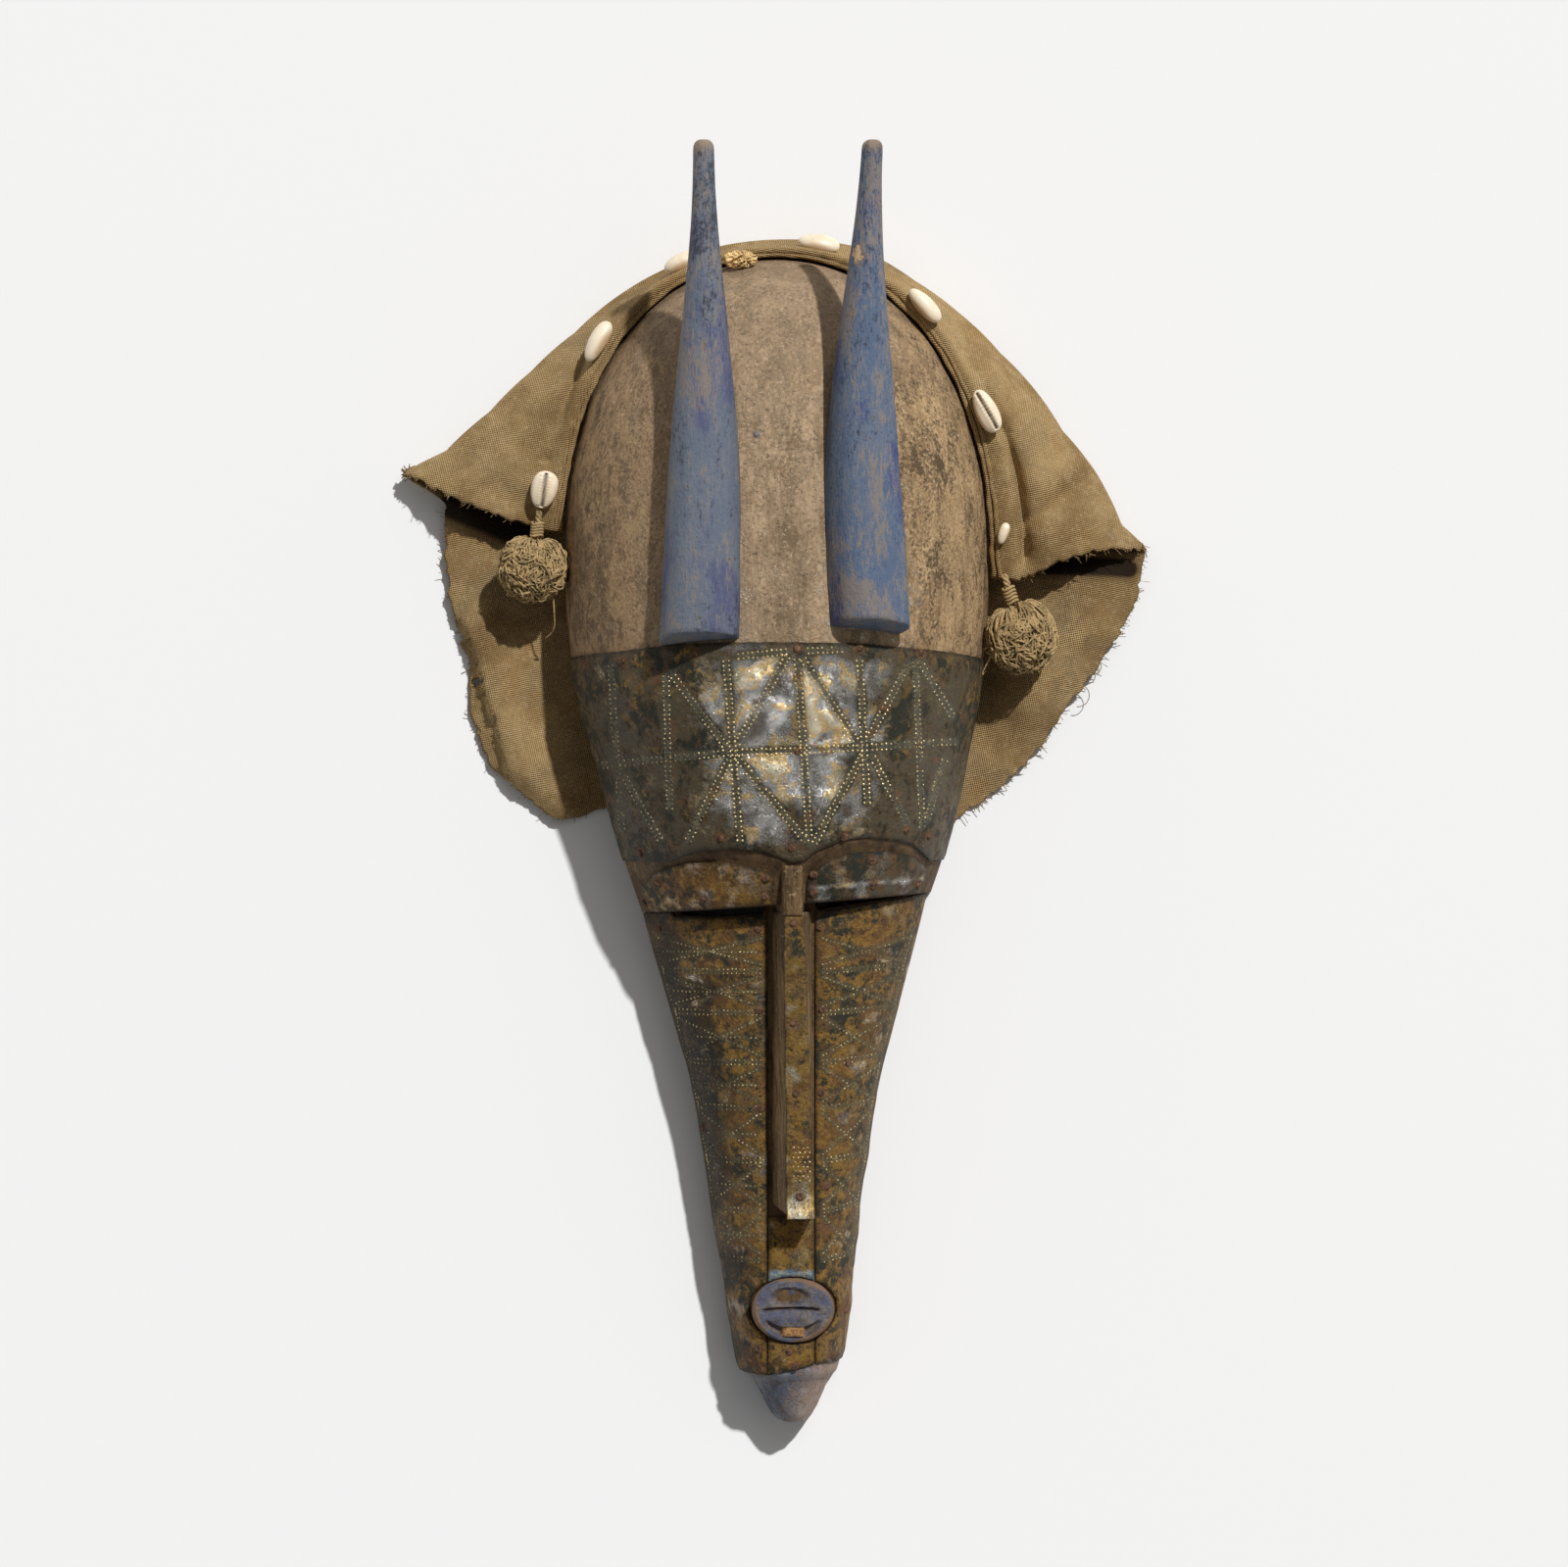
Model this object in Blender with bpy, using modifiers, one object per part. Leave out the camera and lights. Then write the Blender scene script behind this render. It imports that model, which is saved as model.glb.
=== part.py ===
"""A carved wooden mask with two horns and sheet metal plates, and a cloth hood with shells and pompoms.

It lies on its back. X runs across the face, Y up to the horns and Z out through the nose. Sizes are in metres.
"""

import math

import bmesh
import bpy
from mathutils import Matrix, Vector
from mathutils.bvhtree import BVHTree

OBJECT_NAME = "marka_mask"

# Fits between pieces.
GAP = 0.0004
SHEET = 0.0008
SHEET_GAP = 0.0005
SOFT_GAP = 0.0010
CLOTH = 0.0016

# The back of the dome clears the cloth under it, and the face's back is the plane that it lies on.
DOME_BACK = CLOTH + 2.0 * GAP
BACK_DROP_TOP = -0.016
BACK_DROP_END = -0.038
BACK_STEP = 0.0004

# The dome: its top end, its widest line, the crest of its profile and how square its two outlines are.
DOME_TOP = 0.2412
DOME_WIDEST = 0.1123
DOME_CREST = 0.100
PLAN_POWER = 2.2
PROFILE_POWER = 2.6

# Stations down the head and the face: distance along Y, half width, crown height and centre line.
HEAD = (
    (0.1123, 0.0958, 0.1120, 0.0012),
    (0.0916, 0.0958, 0.1120, 0.0012),
    (0.0507, 0.0919, 0.1090, 0.0015),
    (0.0134, 0.0835, 0.1010, 0.0030),
    (-0.0227, 0.0743, 0.0905, 0.0040),
    (-0.0560, 0.0632, 0.0770, 0.0040),
)
FACE = (
    (-0.0400, 0.0655, 0.0655, 0.0040),
    (-0.0535, 0.0626, 0.0640, 0.0038),
    (-0.0996, 0.0501, 0.0585, 0.0044),
    (-0.1326, 0.0413, 0.0550, 0.0049),
    (-0.1789, 0.0338, 0.0505, 0.0050),
    (-0.2317, 0.0264, 0.0455, 0.0065),
    (-0.2602, 0.0218, 0.0416, 0.0068),
    (-0.2625, 0.0185, 0.0382, 0.0073),
    (-0.2710, 0.0142, 0.0330, 0.0078),
    (-0.2790, 0.0100, 0.0285, 0.0081),
    (-0.2825, 0.0072, 0.0250, 0.0082),
)
HEAD_SQUARENESS = 2.10
FACE_SQUARENESS = 2.30
ARC_STEPS = 24
DOME_RING_SHARES = (0.995, 0.965, 0.91, 0.83, 0.72, 0.58, 0.42, 0.22, 0.0)
BORE_STEPS = 14
DOME_WALL = 0.0090
FACE_WALL = 0.0075

# The hollow opens through the back. It stops above the chin, whose rings lie closer together.
BORE_PAST = 0.0060
HOLLOW_STEP = 0.0060
HOLLOW_END = -0.2460
CHEEKS_END = -0.2525
CHIN_RINGS = (-0.2565, -0.2602, -0.2625, -0.2665, -0.2710, -0.2755, -0.2795, -0.2825)

# The brow ledge hangs over the face, and its line tips up to the right.
LEDGE = -0.0495
LEDGE_TILT = 0.070
LEDGE_MIDDLE = 0.004
LEAN_START = -0.014
EYE_RECESS = 0.0022
RECESS_SLOPE = 0.0020
RECESS_FADE = 0.020

# Arches over the eyes: middle, half span, height of the ends, height of the crown and how square they are.
LEFT_BROW = (-0.0240, 0.0380, -0.0345, -0.0256, 2.5)
RIGHT_BROW = (0.0460, 0.0330, -0.0310, -0.0205, 2.5)
LEFT_LID = (-0.0260, 0.0360, -0.0460, -0.0308, 2.5)
RIGHT_LID = (0.0410, 0.0300, -0.0440, -0.0260, 3.0)
LEFT_LID_EDGES = (-0.0590, 0.0000)
RIGHT_LID_EDGES = (0.0142, 0.0650)
LID_LEVEL = -0.0420
LID_CLEAR = 0.0003
LID_LEAST = 0.0020

# The eye slits, cut through just under the ledge.
SLIT_HEIGHT = 0.0038
SLIT_CLEAR = 0.0002
SLIT_DEPTHS = (0.020, 0.080)
SLIT_END = 0.0060
LEFT_SLIT = (-0.0449, -0.0034)
RIGHT_SLIT = (0.0180, 0.0600)

# The nose: a bar that widens and sinks towards its free end, and a stub between the eyelids.
STUB_TOP = -0.0320
NOSE_TOP = -0.0531
NOSE_END = -0.1881
NOSE_END_BEVEL = 0.0062
STUB_FRONT = 0.0885
STUB_DEPTHS = (0.0200, 0.0240)
STUB_LAP = 0.0010
NOSE_FRONT_TOP = 0.0840
NOSE_FRONT_END = 0.0700
STUB_SIDES = (0.0005, 0.0136)
STUB_FACE = (0.0040, 0.0125)
NOSE_SIDES = (-0.0025, 0.0172)
NOSE_FACE_TOP = (0.0044, 0.0134)
NOSE_FACE_END = (0.0057, 0.0180)
NOSE_ROOT_DEPTH = 0.0060

# The mouth: a boss with a slit, a hollow upper lip and a hollow under the lower lip round a small block.
MOUTH = (0.0083, -0.2303)
MOUTH_RADII = (0.0183, 0.0144)
MOUTH_FRONT = 0.0485
MOUTH_ROOT = 0.0360
MOUTH_EDGE = 0.0014
MOUTH_SLIT = (0.0257, 0.0016, 0.0028)
MOUTH_CUT_PAST = 0.0030
UPPER_LIP = (0.0000, 0.0070, 0.0112, 0.0040, 0.0022)
LOWER_LIP = (0.0000, -0.0078, 0.0138, 0.0050, 0.0026)
TONGUE = (0.0096, 0.0046, 0.0022)
TONGUE_ROOT = 0.0050
TONGUE_DROP = 0.0010

# The horns: foot and tip, radii, and how far the middle bows towards the other horn.
HORN_FOOT_HEIGHT = 0.1040
HORN_TIP_HEIGHT = 0.1160
HORN_FOOT_RADIUS = 0.0178
HORN_TIP_RADIUS = 0.0046
HORN_TIP_ROUND = 0.0028
HORN_TAPER = 1.30
HORN_SIDES = 14
HORN_RINGS = 11
LEFT_HORN = (-0.0322, 0.0655, -0.0304, 0.2825, 0.0013)
RIGHT_HORN = (0.0411, 0.0712, 0.0428, 0.2825, -0.0036)
HORN_FOOT_SLANT = 0.22

# Sheet edges.
FOREHEAD_TOP = 0.0653
FOREHEAD_TOP_DROP = 0.0056
FOREHEAD_LEVEL = 0.0200
SHEET_WRAP = math.radians(9)
CHEEK_TOP_INSET = 0.0005
LEFT_SEAM = -0.0028
RIGHT_SEAM = 0.0180
SEAM_GAP = 0.0005
CHEEK_END_LEFT = -0.2600
CHEEK_END_RIGHT = -0.2550
BARE_BOSS_GAP = 0.0006

# The cloth: middle, outline as bearing in degrees and radius, and the span of its front flap.
CLOTH_MIDDLE = (0.0044, 0.1098)
CLOTH_OUTLINE = (
    (0.0, 0.1626), (4.0, 0.1520), (14.0, 0.1442), (23.0, 0.1360), (42.0, 0.1312),
    (54.0, 0.1322), (64.0, 0.1342), (77.0, 0.1398), (90.0, 0.1392), (102.0, 0.1392),
    (111.0, 0.1370), (134.0, 0.1353), (145.0, 0.1390), (155.0, 0.1460), (164.0, 0.1583),
    (169.0, 0.1748), (172.0, 0.1542), (180.0, 0.1526), (190.0, 0.1522), (200.0, 0.1508),
    (207.0, 0.1592), (216.0, 0.1645), (226.0, 0.1604), (230.0, 0.1600), (236.0, 0.1400),
    (251.0, 0.1220), (270.0, 0.1140), (288.0, 0.1240), (302.0, 0.1440), (318.0, 0.1455),
    (331.0, 0.1457), (343.0, 0.1533), (352.0, 0.1610), (360.0, 0.1626),
)
FLAP_START = 0.0
FLAP_END = 169.0
HEM_START = -8.0
HEM_END = 176.0
HEM_END_HEIGHT = 0.0200
HEM_TOP_HEIGHT = 0.0440
HEM_WIDTH = 0.0060
HEM_RISE = 0.0018
HEM_CLEAR = 0.0022
FOLD_HEIGHT = 0.0085
FOLD_RADIUS = 0.0045
FLAP_BULGE = 0.0090
FLAP_ROOM = 0.0600
HEM_LIP = 0.0010
RIM_LIFT = 0.0005
FOLDED_CLEAR = 0.0010
LOOSE_CLEAR = 0.0030
PANEL_RISE = 0.0090
PANEL_START = 0.0080
PANEL_REACH = 0.0240
CLOTH_COLUMNS = 60
CLOTH_LEVEL = CLOTH / 2.0 + 0.0001

# The shells: place, bearing of the long axis in degrees, length, width and height.
COWRIES = (
    (-0.1030, 0.1357, 76.0, 0.0170, 0.0132, 0.0074),
    (-0.0768, 0.1999, 55.0, 0.0205, 0.0120, 0.0082),
    (-0.0402, 0.2350, 20.0, 0.0170, 0.0100, 0.0070),
    (0.0197, 0.2428, -8.0, 0.0185, 0.0110, 0.0064),
    (0.0660, 0.2156, -49.0, 0.0200, 0.0118, 0.0082),
    (0.0943, 0.1699, -64.0, 0.0205, 0.0126, 0.0084),
    (0.1030, 0.1160, 70.0, 0.0100, 0.0060, 0.0040),
)
SHELL_SIDES = 12
SHELL_RINGS = 6

# The yarn: place and half sizes.
LEFT_POMPOM = (-0.1078, 0.1005, 0.0325, 0.0160, 0.0166, 0.0145)
RIGHT_POMPOM = (0.1106, 0.0700, 0.0290, 0.0163, 0.0180, 0.0145)
TOP_TUFT = (-0.0143, 0.2320, 0.0, 0.0170, 0.0112, 0.0076)


def between(low, high, share):
    return low + (high - low) * share


def ease(share):
    share = min(max(share, 0.0), 1.0)
    return share * share * (3.0 - 2.0 * share)


def power_arc(share, power):
    """Height of a rounded profile, 1 at its middle and 0 at its end."""
    return max(0.0, 1.0 - min(abs(share), 1.0) ** power) ** (1.0 / power)


def arch(x, shape):
    middle, half, low, high, power = shape
    return between(low, high, 1.0 - min(abs((x - middle) / half), 1.0) ** power)


def smooth_station(stations, y):
    """Values at y on a curve through the stations that never overshoots them."""
    y = min(max(y, stations[-1][0]), stations[0][0])
    place = 0
    while place < len(stations) - 2 and y < stations[place + 1][0]:
        place += 1

    def slope(index, column):
        """Slope at a station: the harmonic mean of both sides, or none at a turning point."""
        if index in (0, len(stations) - 1):
            near = 1 if index == 0 else index - 1
            step = stations[near][0] - stations[index][0]
            return (stations[near][column] - stations[index][column]) / step
        before, here, after = stations[index - 1 : index + 2]
        one = (here[column] - before[column]) / (here[0] - before[0])
        two = (after[column] - here[column]) / (after[0] - here[0])
        return 0.0 if one * two <= 0.0 else 2.0 * one * two / (one + two)

    start, end = stations[place], stations[place + 1]
    span = end[0] - start[0]
    share = (y - start[0]) / span
    found = []
    for column in range(1, len(start)):
        one, two = slope(place, column) * span, slope(place + 1, column) * span
        found.append(
            (1.0 + 2.0 * share) * (1.0 - share) ** 2 * start[column]
            + share * (1.0 - share) ** 2 * one
            + share**2 * (3.0 - 2.0 * share) * end[column]
            + share**2 * (share - 1.0) * two
        )
    return found


def head_size(y):
    """Half width, crown height and centre line of the dome and forehead at y."""
    half, crown, middle = smooth_station(HEAD, y)
    if y > DOME_WIDEST:
        half *= power_arc((y - DOME_WIDEST) / (DOME_TOP - DOME_WIDEST), PLAN_POWER)
    if y > DOME_CREST:
        rise = power_arc((y - DOME_CREST) / (DOME_TOP - DOME_CREST), PROFILE_POWER)
        crown = between(DOME_BACK, crown, rise)
    return half, crown, middle


def face_size(y):
    return smooth_station(FACE, y)


def head_back(y):
    share = ease((BACK_DROP_TOP - y) / (BACK_DROP_TOP - BACK_DROP_END))
    return between(DOME_BACK, BACK_STEP, share)


def ledge_line(x):
    return LEDGE + LEDGE_TILT * (x - LEDGE_MIDDLE)


def brow_line(x):
    """Lower edge of the forehead plate, an arch over each eye."""
    return max(arch(x, LEFT_BROW), arch(x, RIGHT_BROW))


def lid_line(x):
    """Upper edge of the eyelid plates."""
    return max(arch(x, LEFT_LID), arch(x, RIGHT_LID))


def eye_recess(x, y):
    """How far the wood is cut back between the brow and the ledge."""
    top, bottom = brow_line(x), lid_line(x)
    return EYE_RECESS * ease((top - y) / max(top - bottom, RECESS_SLOPE))


def arc_point(turn, half, height, squareness):
    """A point on a rounded cross-section: turn 0 is the right foot and pi the left one."""
    power = 2.0 / squareness
    across, up = math.cos(turn), math.sin(turn)
    return math.copysign(abs(across) ** power, across) * half, max(up, 0.0) ** power * height


def head_point(turn, y, out=0.0):
    half, crown, middle = head_size(y)
    back = head_back(y)
    x, z = arc_point(turn, half + out, crown - back + out, HEAD_SQUARENESS)
    x += middle
    return Vector((x, y, back + z - eye_recess(x, y) * min(z / RECESS_FADE, 1.0)))


def face_point(turn, y, out=0.0):
    half, crown, middle = face_size(y)
    x, z = arc_point(turn, half + out, crown + out, FACE_SQUARENESS)
    return Vector((x + middle, y, z))


def turn_at(x, y, size, squareness):
    """The turn on the cross-section at y that lies at x."""
    half, _, middle = size(y)
    share = min(max((x - middle) / half, -0.999), 0.999)
    return math.acos(math.copysign(abs(share) ** (squareness / 2.0), share))


def clear_scene():
    for old in list(bpy.data.objects):
        bpy.data.objects.remove(old, do_unlink=True)
    parts = bpy.data.collections.new(OBJECT_NAME)
    cutters = bpy.data.collections.new("cutters")
    cutters.hide_render = True
    for collection in (parts, cutters):
        bpy.context.scene.collection.children.link(collection)
    return parts, cutters


def new_material(name, colour, roughness, metallic=0.0):
    material = bpy.data.materials.new(name)
    material.use_nodes = True
    shader = material.node_tree.nodes["Principled BSDF"]
    shader.inputs["Base Color"].default_value = (*colour, 1.0)
    shader.inputs["Roughness"].default_value = roughness
    shader.inputs["Metallic"].default_value = metallic
    return material


def finish_mesh(name, shape, collection, material=None):
    """Makes an object of the bmesh, with its faces out and shaded smooth."""
    bmesh.ops.recalc_face_normals(shape, faces=shape.faces)
    mesh = bpy.data.meshes.new(name)
    shape.to_mesh(mesh)
    shape.free()
    mesh.shade_smooth()
    obj = bpy.data.objects.new(name, mesh)
    collection.objects.link(obj)
    if material:
        mesh.materials.append(material)
    else:
        obj.hide_render = True
        obj.display_type = "WIRE"
    return obj


def loft(name, rings, collection, material=None):
    """A closed solid through closed rings of the same number of points."""
    shape = bmesh.new()
    rows = [[shape.verts.new(point) for point in ring] for ring in rings]
    for low, high in zip(rows, rows[1:]):
        for place in range(len(low)):
            after = (place + 1) % len(low)
            shape.faces.new((low[place], low[after], high[after], high[place]))
    shape.faces.new(rows[0])
    shape.faces.new(rows[-1])
    return finish_mesh(name, shape, collection, material)


def ellipsoid(name, centre, radii, collection, material=None, steps=(14, 7), turn=None):
    shape = bmesh.new()
    bmesh.ops.create_uvsphere(shape, u_segments=steps[0], v_segments=steps[1], radius=1.0)
    placed = Matrix.Translation(centre)
    if turn:
        placed = placed @ turn.to_4x4()
    shape.transform(placed @ Matrix.Diagonal((*radii, 1.0)))
    bmesh.ops.triangulate(shape, faces=shape.faces)
    return finish_mesh(name, shape, collection, material)


def block(name, low, high, collection, turn=0.0):
    """A box between two corners, turned about Z round its middle."""
    shape = bmesh.new()
    bmesh.ops.create_cube(shape, size=1.0)
    middle = (Vector(low) + Vector(high)) / 2.0
    size = Vector(high) - Vector(low)
    placed = Matrix.Translation(middle) @ Matrix.Rotation(turn, 4, "Z")
    shape.transform(placed @ Matrix.Diagonal((*size, 1.0)))
    return finish_mesh(name, shape, collection)


def combine(target, tool, operation):
    modifier = target.modifiers.new(tool.name, "BOOLEAN")
    modifier.operation = operation
    modifier.object = tool
    modifier.solver = "EXACT"


def arc_ring(y, half, crown, middle, back, squareness, steps):
    """One ring across the head or the face: an arch closed across the back."""
    ring = []
    for step in range(steps + 1):
        x, z = arc_point(math.pi * step / steps, half, crown - back, squareness)
        ring.append((x + middle, y, back + z))
    return ring


def head_ring(y):
    """A ring on the head's surface that leans towards the ledge's line as it nears it."""
    lean = LEDGE_TILT * ease((LEAN_START - y) / (LEAN_START - LEDGE))
    ring = []
    for step in range(ARC_STEPS + 1):
        turn = math.pi * step / ARC_STEPS
        shift = lean * (head_point(turn, y).x - LEDGE_MIDDLE)
        ring.append(head_point(turn, y + shift))
    return ring


def head_rings():
    dome = [between(DOME_WIDEST, DOME_TOP, share) for share in DOME_RING_SHARES]
    forehead = [between(DOME_WIDEST, LEAN_START, step / 8) for step in range(1, 9)]
    brow = [between(LEAN_START, LEDGE, step / 11) for step in range(1, 12)]
    return [head_ring(y) for y in dome + forehead + brow]


def head_bore_rings():
    rings = []
    top = DOME_TOP - DOME_WALL
    for share in (0.99, 0.93, 0.82, 0.66, 0.45, 0.2, 0.0):
        y = between(DOME_WIDEST, top, share)
        half = (HEAD[0][1] - DOME_WALL) * power_arc(share, PLAN_POWER)
        rise = power_arc((y - DOME_CREST) / (top - DOME_CREST), PROFILE_POWER)
        crown = between(DOME_BACK, HEAD[0][2] - DOME_WALL, rise)
        rings.append(arc_ring(y, half, crown, HEAD[0][3], -BORE_PAST, HEAD_SQUARENESS, BORE_STEPS))
    for step in range(1, 8):
        y = between(DOME_WIDEST, LEDGE + FACE_WALL, step / 7)
        half, crown, middle = head_size(y)
        half, crown = half - DOME_WALL, crown - DOME_WALL
        rings.append(arc_ring(y, half, crown, middle, -BORE_PAST, HEAD_SQUARENESS, BORE_STEPS))
    return rings


def face_rings():
    cheeks = [between(FACE[0][0], CHEEKS_END, step / 10) for step in range(11)]
    rings = []
    for y in cheeks + list(CHIN_RINGS):
        half, crown, middle = face_size(y)
        rings.append(arc_ring(y, half, crown, middle, 0.0, FACE_SQUARENESS, ARC_STEPS))
    return rings


def face_bore_rings():
    rings = []
    for step in range(7):
        y = between(LEDGE + FACE_WALL + HOLLOW_STEP, HOLLOW_END, step / 6)
        half, crown, middle = face_size(y)
        half, crown = half - FACE_WALL, crown - FACE_WALL
        rings.append(arc_ring(y, half, crown, middle, -BORE_PAST, FACE_SQUARENESS, BORE_STEPS))
    return rings


def horn_rings(horn):
    foot_x, foot_y, tip_x, tip_y, bow = horn
    rings = []
    shares = [step / (HORN_RINGS - 2) * 0.985 for step in range(HORN_RINGS - 1)] + [1.0]
    for share in shares:
        radius = between(
            HORN_TIP_RADIUS,
            HORN_FOOT_RADIUS,
            (1.0 + math.cos(math.pi * share**HORN_TAPER)) / 2.0,
        )
        if share == 1.0:
            radius = HORN_TIP_ROUND
        x = between(foot_x, tip_x, share) + bow * math.sin(math.pi * share**0.8)
        y = between(foot_y, tip_y, share)
        z = between(HORN_FOOT_HEIGHT, HORN_TIP_HEIGHT, share)
        ring = []
        for side in range(HORN_SIDES):
            angle = 2.0 * math.pi * side / HORN_SIDES
            slant = HORN_FOOT_SLANT * radius * math.sin(angle) if share == 0.0 else 0.0
            ring.append((x + radius * math.cos(angle), y + slant, z + radius * math.sin(angle)))
        rings.append(ring)
    return rings


def nose_front(y):
    return between(NOSE_FRONT_TOP, NOSE_FRONT_END, (NOSE_TOP - y) / (NOSE_TOP - NOSE_END))


def nose_face(y):
    share = (NOSE_TOP - y) / (NOSE_TOP - NOSE_END)
    return [between(NOSE_FACE_TOP[side], NOSE_FACE_END[side], share) for side in (0, 1)]


def bar_ring(y, sides, face, root, front, left_y=None):
    """A four-cornered ring across the nose. left_y moves its left edge along."""
    left_y = y if left_y is None else left_y
    return [
        (sides[0], left_y, root),
        (sides[1], y, root),
        (face[1], y, front),
        (face[0], between(left_y, y, 0.7), front),
    ]


def build_wood(parts, cutters, material):
    wood = loft("wooden_mask", head_rings(), parts, material)
    face = loft("face_block", face_rings(), cutters)
    combine(wood, face, "UNION")

    stub = loft(
        "nose_stub",
        [
            bar_ring(STUB_TOP, STUB_SIDES, STUB_FACE, STUB_FRONT - STUB_DEPTHS[0], STUB_FRONT),
            bar_ring(
                NOSE_TOP - STUB_LAP, STUB_SIDES, STUB_FACE, STUB_FRONT - STUB_DEPTHS[1], NOSE_FRONT_TOP
            ),
        ],
        cutters,
    )
    combine(wood, stub, "UNION")

    seat = GAP + SHEET
    rings = []
    for share in (0.0, 0.35, 0.7, 1.0 - NOSE_END_BEVEL / (NOSE_TOP - NOSE_END), 1.0):
        y = between(NOSE_TOP + GAP, NOSE_END, share)
        surface = face_size(y)[1]
        root = surface - NOSE_ROOT_DEPTH
        bevel = NOSE_END_BEVEL if share == 1.0 else 0.0
        rings.append(bar_ring(y, NOSE_SIDES, nose_face(y), root, nose_front(y) - seat, y + bevel))
    nose = loft("nose_bar", rings[:3] + rings[4:], cutters)
    combine(wood, nose, "UNION")

    for name, horn in (("left_horn", LEFT_HORN), ("right_horn", RIGHT_HORN)):
        combine(wood, loft(name, horn_rings(horn), cutters), "UNION")

    x, y = MOUTH
    rings = []
    for height, inset in ((MOUTH_ROOT, 0.0), (MOUTH_FRONT - MOUTH_EDGE, 0.0), (MOUTH_FRONT, MOUTH_EDGE)):
        rings.append([
            (
                x + (MOUTH_RADII[0] - inset) * math.cos(angle),
                y + (MOUTH_RADII[1] - inset) * math.sin(angle),
                height,
            )
            for angle in (2.0 * math.pi * step / 20 for step in range(20))
        ])
    combine(wood, loft("mouth_boss", rings, cutters), "UNION")

    for name, rings in (("dome_bore", head_bore_rings()), ("face_bore", face_bore_rings())):
        combine(wood, loft(name, rings, cutters), "DIFFERENCE")

    for name, (left, right) in (("left_slit", LEFT_SLIT), ("right_slit", RIGHT_SLIT)):
        top = ledge_line((left + right) / 2.0) - SLIT_CLEAR
        low = (left, top - SLIT_HEIGHT, SLIT_DEPTHS[0])
        slit = block(name, low, (right, top, SLIT_DEPTHS[1]), cutters, math.atan(LEDGE_TILT))
        combine(wood, slit, "DIFFERENCE")

    length, height, depth = MOUTH_SLIT
    slit = block(
        "mouth_slit",
        (x - length / 2.0, y - height / 2.0, MOUTH_FRONT - depth),
        (x + length / 2.0, y + height / 2.0, MOUTH_FRONT + MOUTH_CUT_PAST),
        cutters,
    )
    combine(wood, slit, "DIFFERENCE")
    for name, (dx, dy, wide, tall, deep) in (("upper_lip", UPPER_LIP), ("lower_lip", LOWER_LIP)):
        hollow = ellipsoid(name, (x + dx, y + dy, MOUTH_FRONT), (wide, tall, deep), cutters)
        combine(wood, hollow, "DIFFERENCE")
    wide, tall, rise = TONGUE
    level = y + LOWER_LIP[1] - TONGUE_DROP
    tongue = block(
        "tongue",
        (x - wide / 2.0, level - tall / 2.0, MOUTH_FRONT - TONGUE_ROOT),
        (x + wide / 2.0, level + tall / 2.0, MOUTH_FRONT - LOWER_LIP[4] + rise),
        cutters,
    )
    combine(wood, tongue, "UNION")
    return wood


def sheet_solid(name, grid, parts, material):
    """A sheet of constant thickness on a grid of points, grown outwards."""
    shape = bmesh.new()
    rows = [[shape.verts.new(point) for point in row] for row in grid]
    for low, high in zip(rows, rows[1:]):
        for place in range(len(low) - 1):
            shape.faces.new((low[place], low[place + 1], high[place + 1], high[place]))
    shape.normal_update()
    if sum(face.normal.z for face in shape.faces) < 0.0:
        bmesh.ops.reverse_faces(shape, faces=shape.faces)
    mesh = bpy.data.meshes.new(name)
    shape.to_mesh(mesh)
    shape.free()
    mesh.shade_smooth()
    obj = bpy.data.objects.new(name, mesh)
    parts.objects.link(obj)
    mesh.materials.append(material)
    thick = obj.modifiers.new("thickness", "SOLIDIFY")
    thick.thickness = SHEET
    thick.offset = 1.0
    return obj


def build_forehead(parts, material):
    grid = []
    rows, columns = 10, 20
    for row in range(rows + 1):
        line = []
        for column in range(columns + 1):
            turn = between(SHEET_WRAP, math.pi - SHEET_WRAP, column / columns)
            x = head_point(turn, FOREHEAD_LEVEL).x
            half, _, middle = head_size(FOREHEAD_LEVEL)
            top = FOREHEAD_TOP - FOREHEAD_TOP_DROP * ((x - middle) / half) ** 2
            y = between(brow_line(x) + GAP, top, row / rows)
            line.append(head_point(turn, y, SHEET_GAP))
        grid.append(line)
    return sheet_solid("forehead_plate", grid, parts, material)


def build_eyelid(name, edges, parts, material):
    left, right = edges
    grid = []
    rows, columns = 6, 9
    turns = [turn_at(x, LID_LEVEL, head_size, HEAD_SQUARENESS) for x in (left, right)]
    for row in range(rows + 1):
        line = []
        for column in range(columns + 1):
            turn = between(turns[0], turns[1], column / columns)
            x = head_point(turn, LID_LEVEL).x
            low = ledge_line(x) + LID_CLEAR
            y = between(low, max(lid_line(x), low + LID_LEAST), row / rows)
            line.append(head_point(turn, y, SHEET_GAP))
        grid.append(line)
    return sheet_solid(name, grid, parts, material)


def seam_at(y, seam, side):
    """Inner edge of a cheek plate: a straight seam that bows out round the mouth."""
    along = (y - MOUTH[1]) / (MOUTH_RADII[1] + BARE_BOSS_GAP)
    if abs(along) >= 1.0:
        return seam
    bow = MOUTH[0] + side * (MOUTH_RADII[0] + BARE_BOSS_GAP) * math.sqrt(1.0 - along * along)
    return max(seam, bow) if side > 0 else min(seam, bow)


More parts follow.
